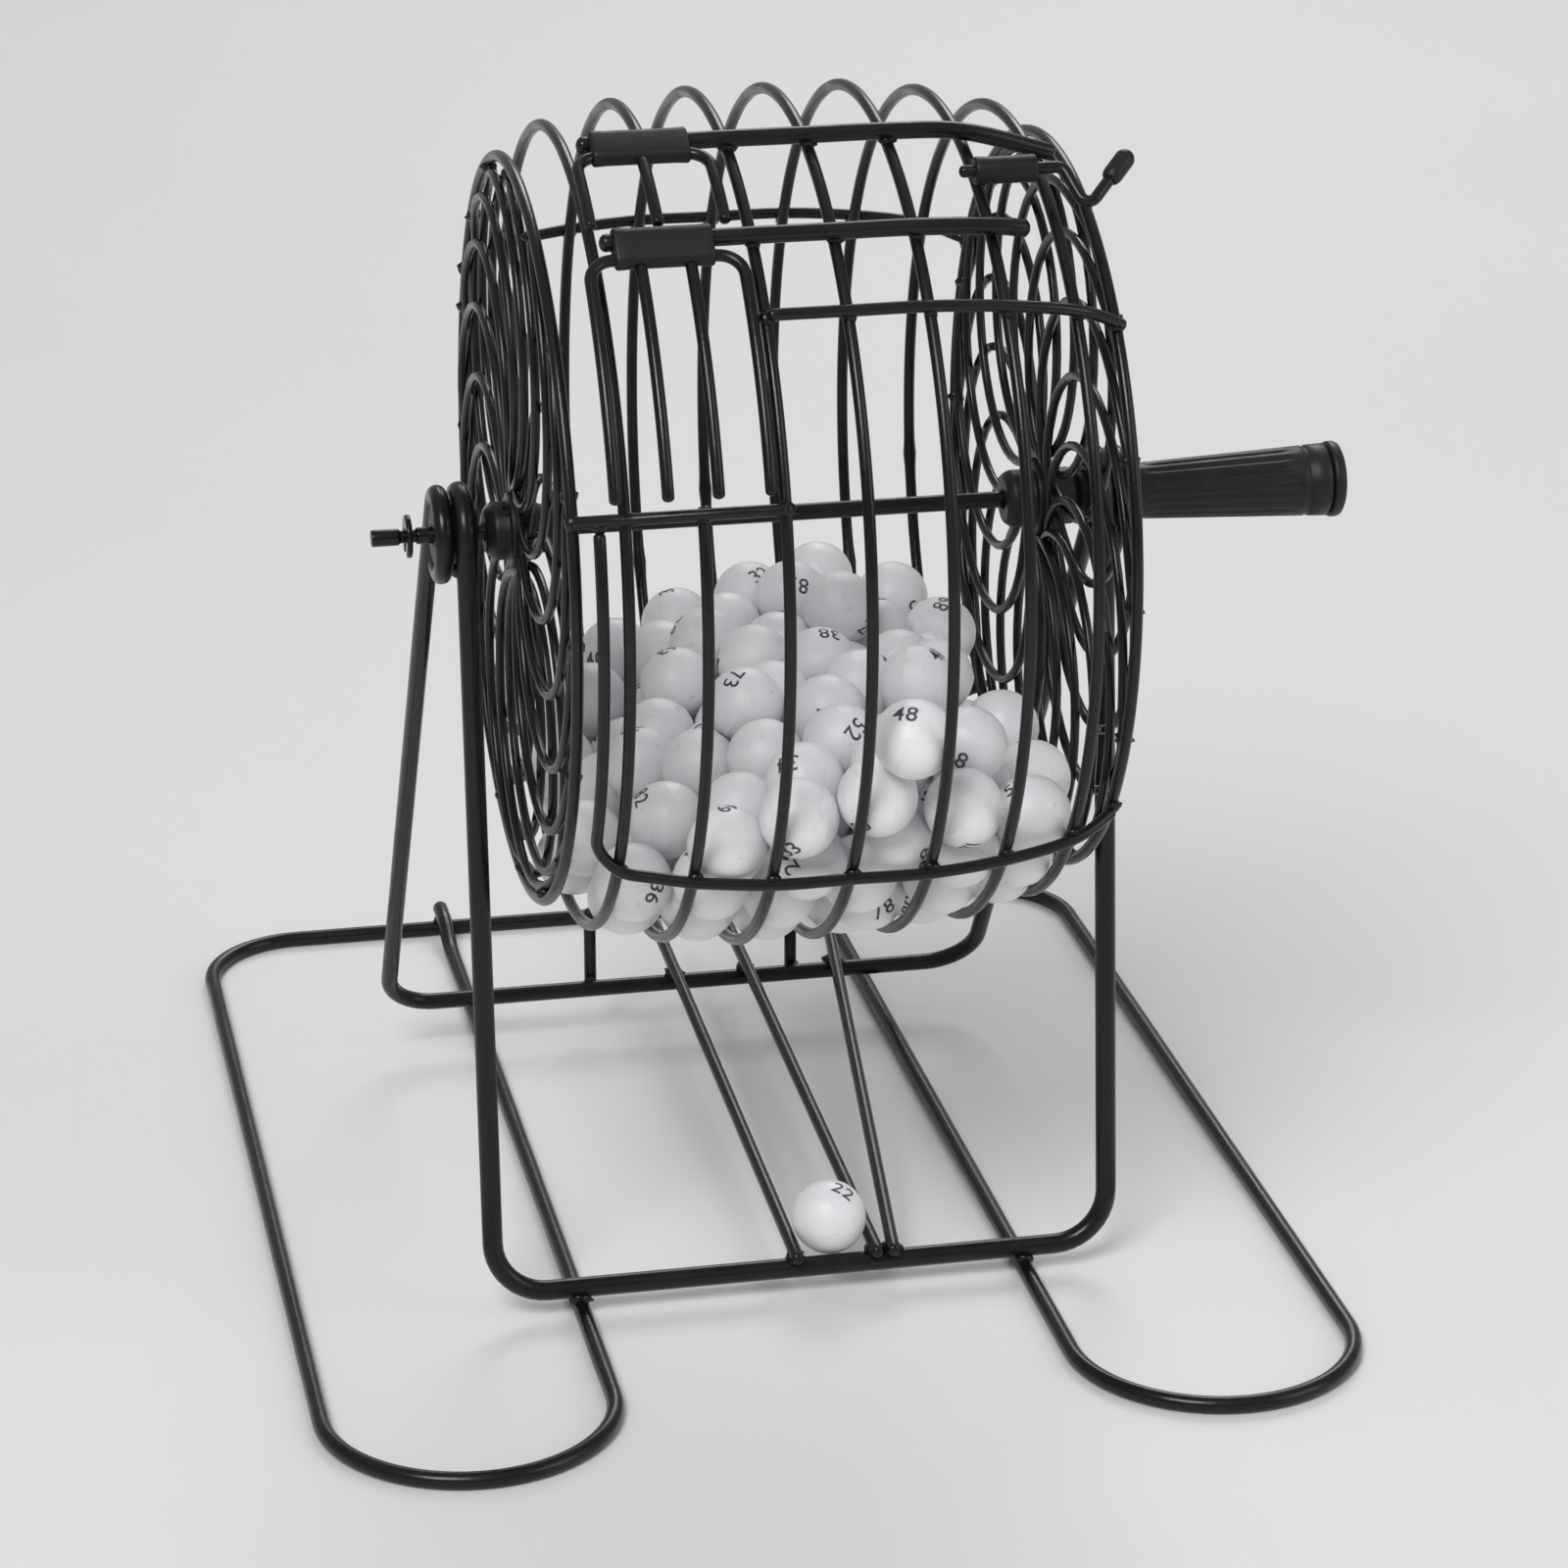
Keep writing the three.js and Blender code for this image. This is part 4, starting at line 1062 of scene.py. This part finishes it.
DIGITS = digit_shells()
FONT_DIGIT_HEIGHT = 0.7  # in a font of size 1
FONT_SPACING = 0.09
DIGIT_HEIGHT = 3.6
INK_THICKNESS = 0.035
INK_SINK = 0.3  # the letters reach this far into the ball
NUMBER_PLACES = [[42, 0], [-38, 180]]  # latitude and longitude on the ball
NUMBER_COUNT = 90
NUMBER_STEP = 37  # between one ball and the next


def number_shells(number, centre, outward, sideways):
    """A printed number wrapped round a ball."""
    upward = np.cross(outward, sideways)
    pieces = [DIGITS[d] for d in str(number)]
    width = sum(p[2] for p in pieces) + FONT_SPACING * (len(pieces) - 1)
    start, shells = -width / 2, []
    scale = DIGIT_HEIGHT / FONT_DIGIT_HEIGHT
    for verts, faces, advance in pieces:
        flat = (verts[:, :2] + np.array([start, -FONT_DIGIT_HEIGHT / 2])) * scale
        start += advance + FONT_SPACING
        reach = np.linalg.norm(flat, axis=1)
        away = reach / BALL_RADIUS
        heading = flat / np.maximum(reach, 1e-9)[:, None]
        direction = (np.cos(away)[:, None] * outward
                     + np.sin(away)[:, None] * (heading[:, :1] * sideways + heading[:, 1:] * upward))
        height = np.where(verts[:, 2] > 0, INK_THICKNESS, -INK_SINK)
        shells.append((centre + direction * (BALL_RADIUS + height)[:, None], faces))
    return shells


def balls_and_numbers(centres, first_number, seed):
    """Every ball turned at random, with its number printed on two sides."""
    dice = np.random.default_rng(seed)
    shape, faces = ball_shell()
    balls, tones, numbers = [], [], []
    for i, centre in enumerate(centres):
        turn = np.array(Quaternion(unit(dice.standard_normal(4))).to_matrix())
        balls.append((shape @ turn.T + centre, faces))
        tones.extend([dice.random()] * len(shape))
        number = (first_number + i * NUMBER_STEP) % NUMBER_COUNT + 1
        for a, b in np.radians(NUMBER_PLACES):
            outward = turn @ [math.sin(a), math.cos(a) * math.cos(b), math.cos(a) * math.sin(b)]
            sideways = unit(np.cross(outward, turn @ [1.0, 0, 0]))
            numbers.extend(number_shells(number, centre, outward, sideways))
    return join_shells(balls), tones, join_shells(numbers)


def add_balls(name, node, centres, first_number, seed):
    """Adds balls as one piece and their numbers as another."""
    shell, tones, numbers = balls_and_numbers(centres, first_number, seed)
    piece = add_piece(name, shell, BALL, BODY_OF[node], [node])
    tone = piece.data.attributes.new("tone", "FLOAT", "POINT")
    tone.data.foreach_set("value", np.array(tones, np.float32))
    add_piece(f"{name}_numbers", numbers, INK, BODY_OF[node])


add_balls("loose_balls", "ball_heap", pack_balls(BALL_COUNT), first_number=4, seed=5)
low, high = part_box("called_ball")
called_centre = (np.array((low + high) / 2) - AXLE_CENTRE) / MM
add_balls("called_ball_fine", "called_ball", [called_centre], first_number=21, seed=9)

# ---- stage, light, camera


FLOOR_RADIUS = 3.0
FLOOR_CURVE = 2.2
FLOOR_SEGMENTS = 96
WALL_HEIGHT = 5.5


def bowl_floor():
    """A flat floor that curves up into a wall far away on every side."""
    rows = [(radius, 0.0) for radius in (0.02, 0.3, 1.0, 2.0, FLOOR_RADIUS)]
    for turn in np.radians(np.linspace(6, 90, 15)):
        rows.append((FLOOR_RADIUS + FLOOR_CURVE * math.sin(turn), FLOOR_CURVE * (1 - math.cos(turn))))
    rows.append((FLOOR_RADIUS + FLOOR_CURVE, WALL_HEIGHT))
    verts = []
    for radius, height in rows:
        for s in range(FLOOR_SEGMENTS):
            turn = 2 * math.pi * s / FLOOR_SEGMENTS
            verts.append((radius * math.cos(turn), radius * math.sin(turn), height))
    faces = ring_faces(len(rows), FLOOR_SEGMENTS)
    faces.append(tuple(range(FLOOR_SEGMENTS)))
    mesh = bpy.data.meshes.new("studio_floor")
    mesh.from_pydata(verts, [], faces)
    mesh.shade_smooth()
    return mesh


floor_paint = Paint("studio_floor")
floor_tone = floor_paint.mix(floor_paint.noise(3, 3), (0.80, 0.79, 0.775), (0.83, 0.82, 0.805))
floor_paint.feed("Base Color", floor_tone)
floor_paint.set("Roughness", 0.65)
floor = bpy.data.objects.new("studio_floor", bowl_floor())
floor.data.materials.append(floor_paint.material)
scene.collection.objects.link(floor)


def area_light(name, place, target, size, power, colour):
    """A round area light aimed at the target."""
    light = bpy.data.lights.new(name, "AREA")
    light.shape = "DISK"
    light.size = size
    light.energy = power
    light.color = colour
    lamp = bpy.data.objects.new(name, light)
    lamp.location = place
    lamp.rotation_euler = (Vector(target) - Vector(place)).to_track_quat("-Z", "Y").to_euler()
    scene.collection.objects.link(lamp)


middle = (cad_box[0] + cad_box[1]) / 2
area_light("key_light", (-0.9, -1.5, 1.9), middle, 1.1, 33, (1, 1, 1))
area_light("fill_light", (1.7, -1.1, 1.0), middle, 1.4, 8, (0.97, 0.98, 1))
area_light("back_light", (0.6, 1.8, 1.6), middle, 1.2, 15, (1, 1, 1))
world = bpy.data.worlds.new("studio")
world.use_nodes = True
world.node_tree.nodes["Background"].inputs["Color"].default_value = (0.93, 0.94, 0.96, 1)
world.node_tree.nodes["Background"].inputs["Strength"].default_value = 0.42
scene.world = world
scene.view_settings.view_transform = "Standard"

CAMERA_AZIMUTH = -11.3
CAMERA_ELEVATION = 19
CAMERA_DISTANCE = 1.11
FRAME_FILL = 0.9


def frame_camera():
    """Puts the camera at its angle, aimed and zoomed so that the CAD is centred and fills the frame."""
    azimuth, elevation = math.radians(CAMERA_AZIMUTH), math.radians(CAMERA_ELEVATION)
    level = math.cos(elevation)
    back = np.array([math.sin(azimuth) * level, -math.cos(azimuth) * level, math.sin(elevation)])
    target = np.array(middle)
    place = target + back * CAMERA_DISTANCE
    points = np.vstack([np.array([v.co for v in node.data.vertices]) for node in frame["nodes"].values()])
    for _ in range(6):
        turn = np.array(Vector(target - place).to_track_quat("-Z", "Y").to_matrix())
        seen = (points - place) @ turn
        across, up = seen[:, 0] / -seen[:, 2], seen[:, 1] / -seen[:, 2]
        offset = np.array([(across.min() + across.max()) / 2, (up.min() + up.max()) / 2, 0])
        target = target + turn @ offset * CAMERA_DISTANCE
    half = max(np.ptp(across), np.ptp(up)) / 2
    camera = bpy.data.cameras.new("camera")
    camera.sensor_width = 36
    camera.lens = camera.sensor_width / 2 * FRAME_FILL / half
    eye_point = bpy.data.objects.new("camera", camera)
    eye_point.location = place
    eye_point.rotation_euler = Vector(target - place).to_track_quat("-Z", "Y").to_euler()
    scene.collection.objects.link(eye_point)
    scene.camera = eye_point


frame_camera()
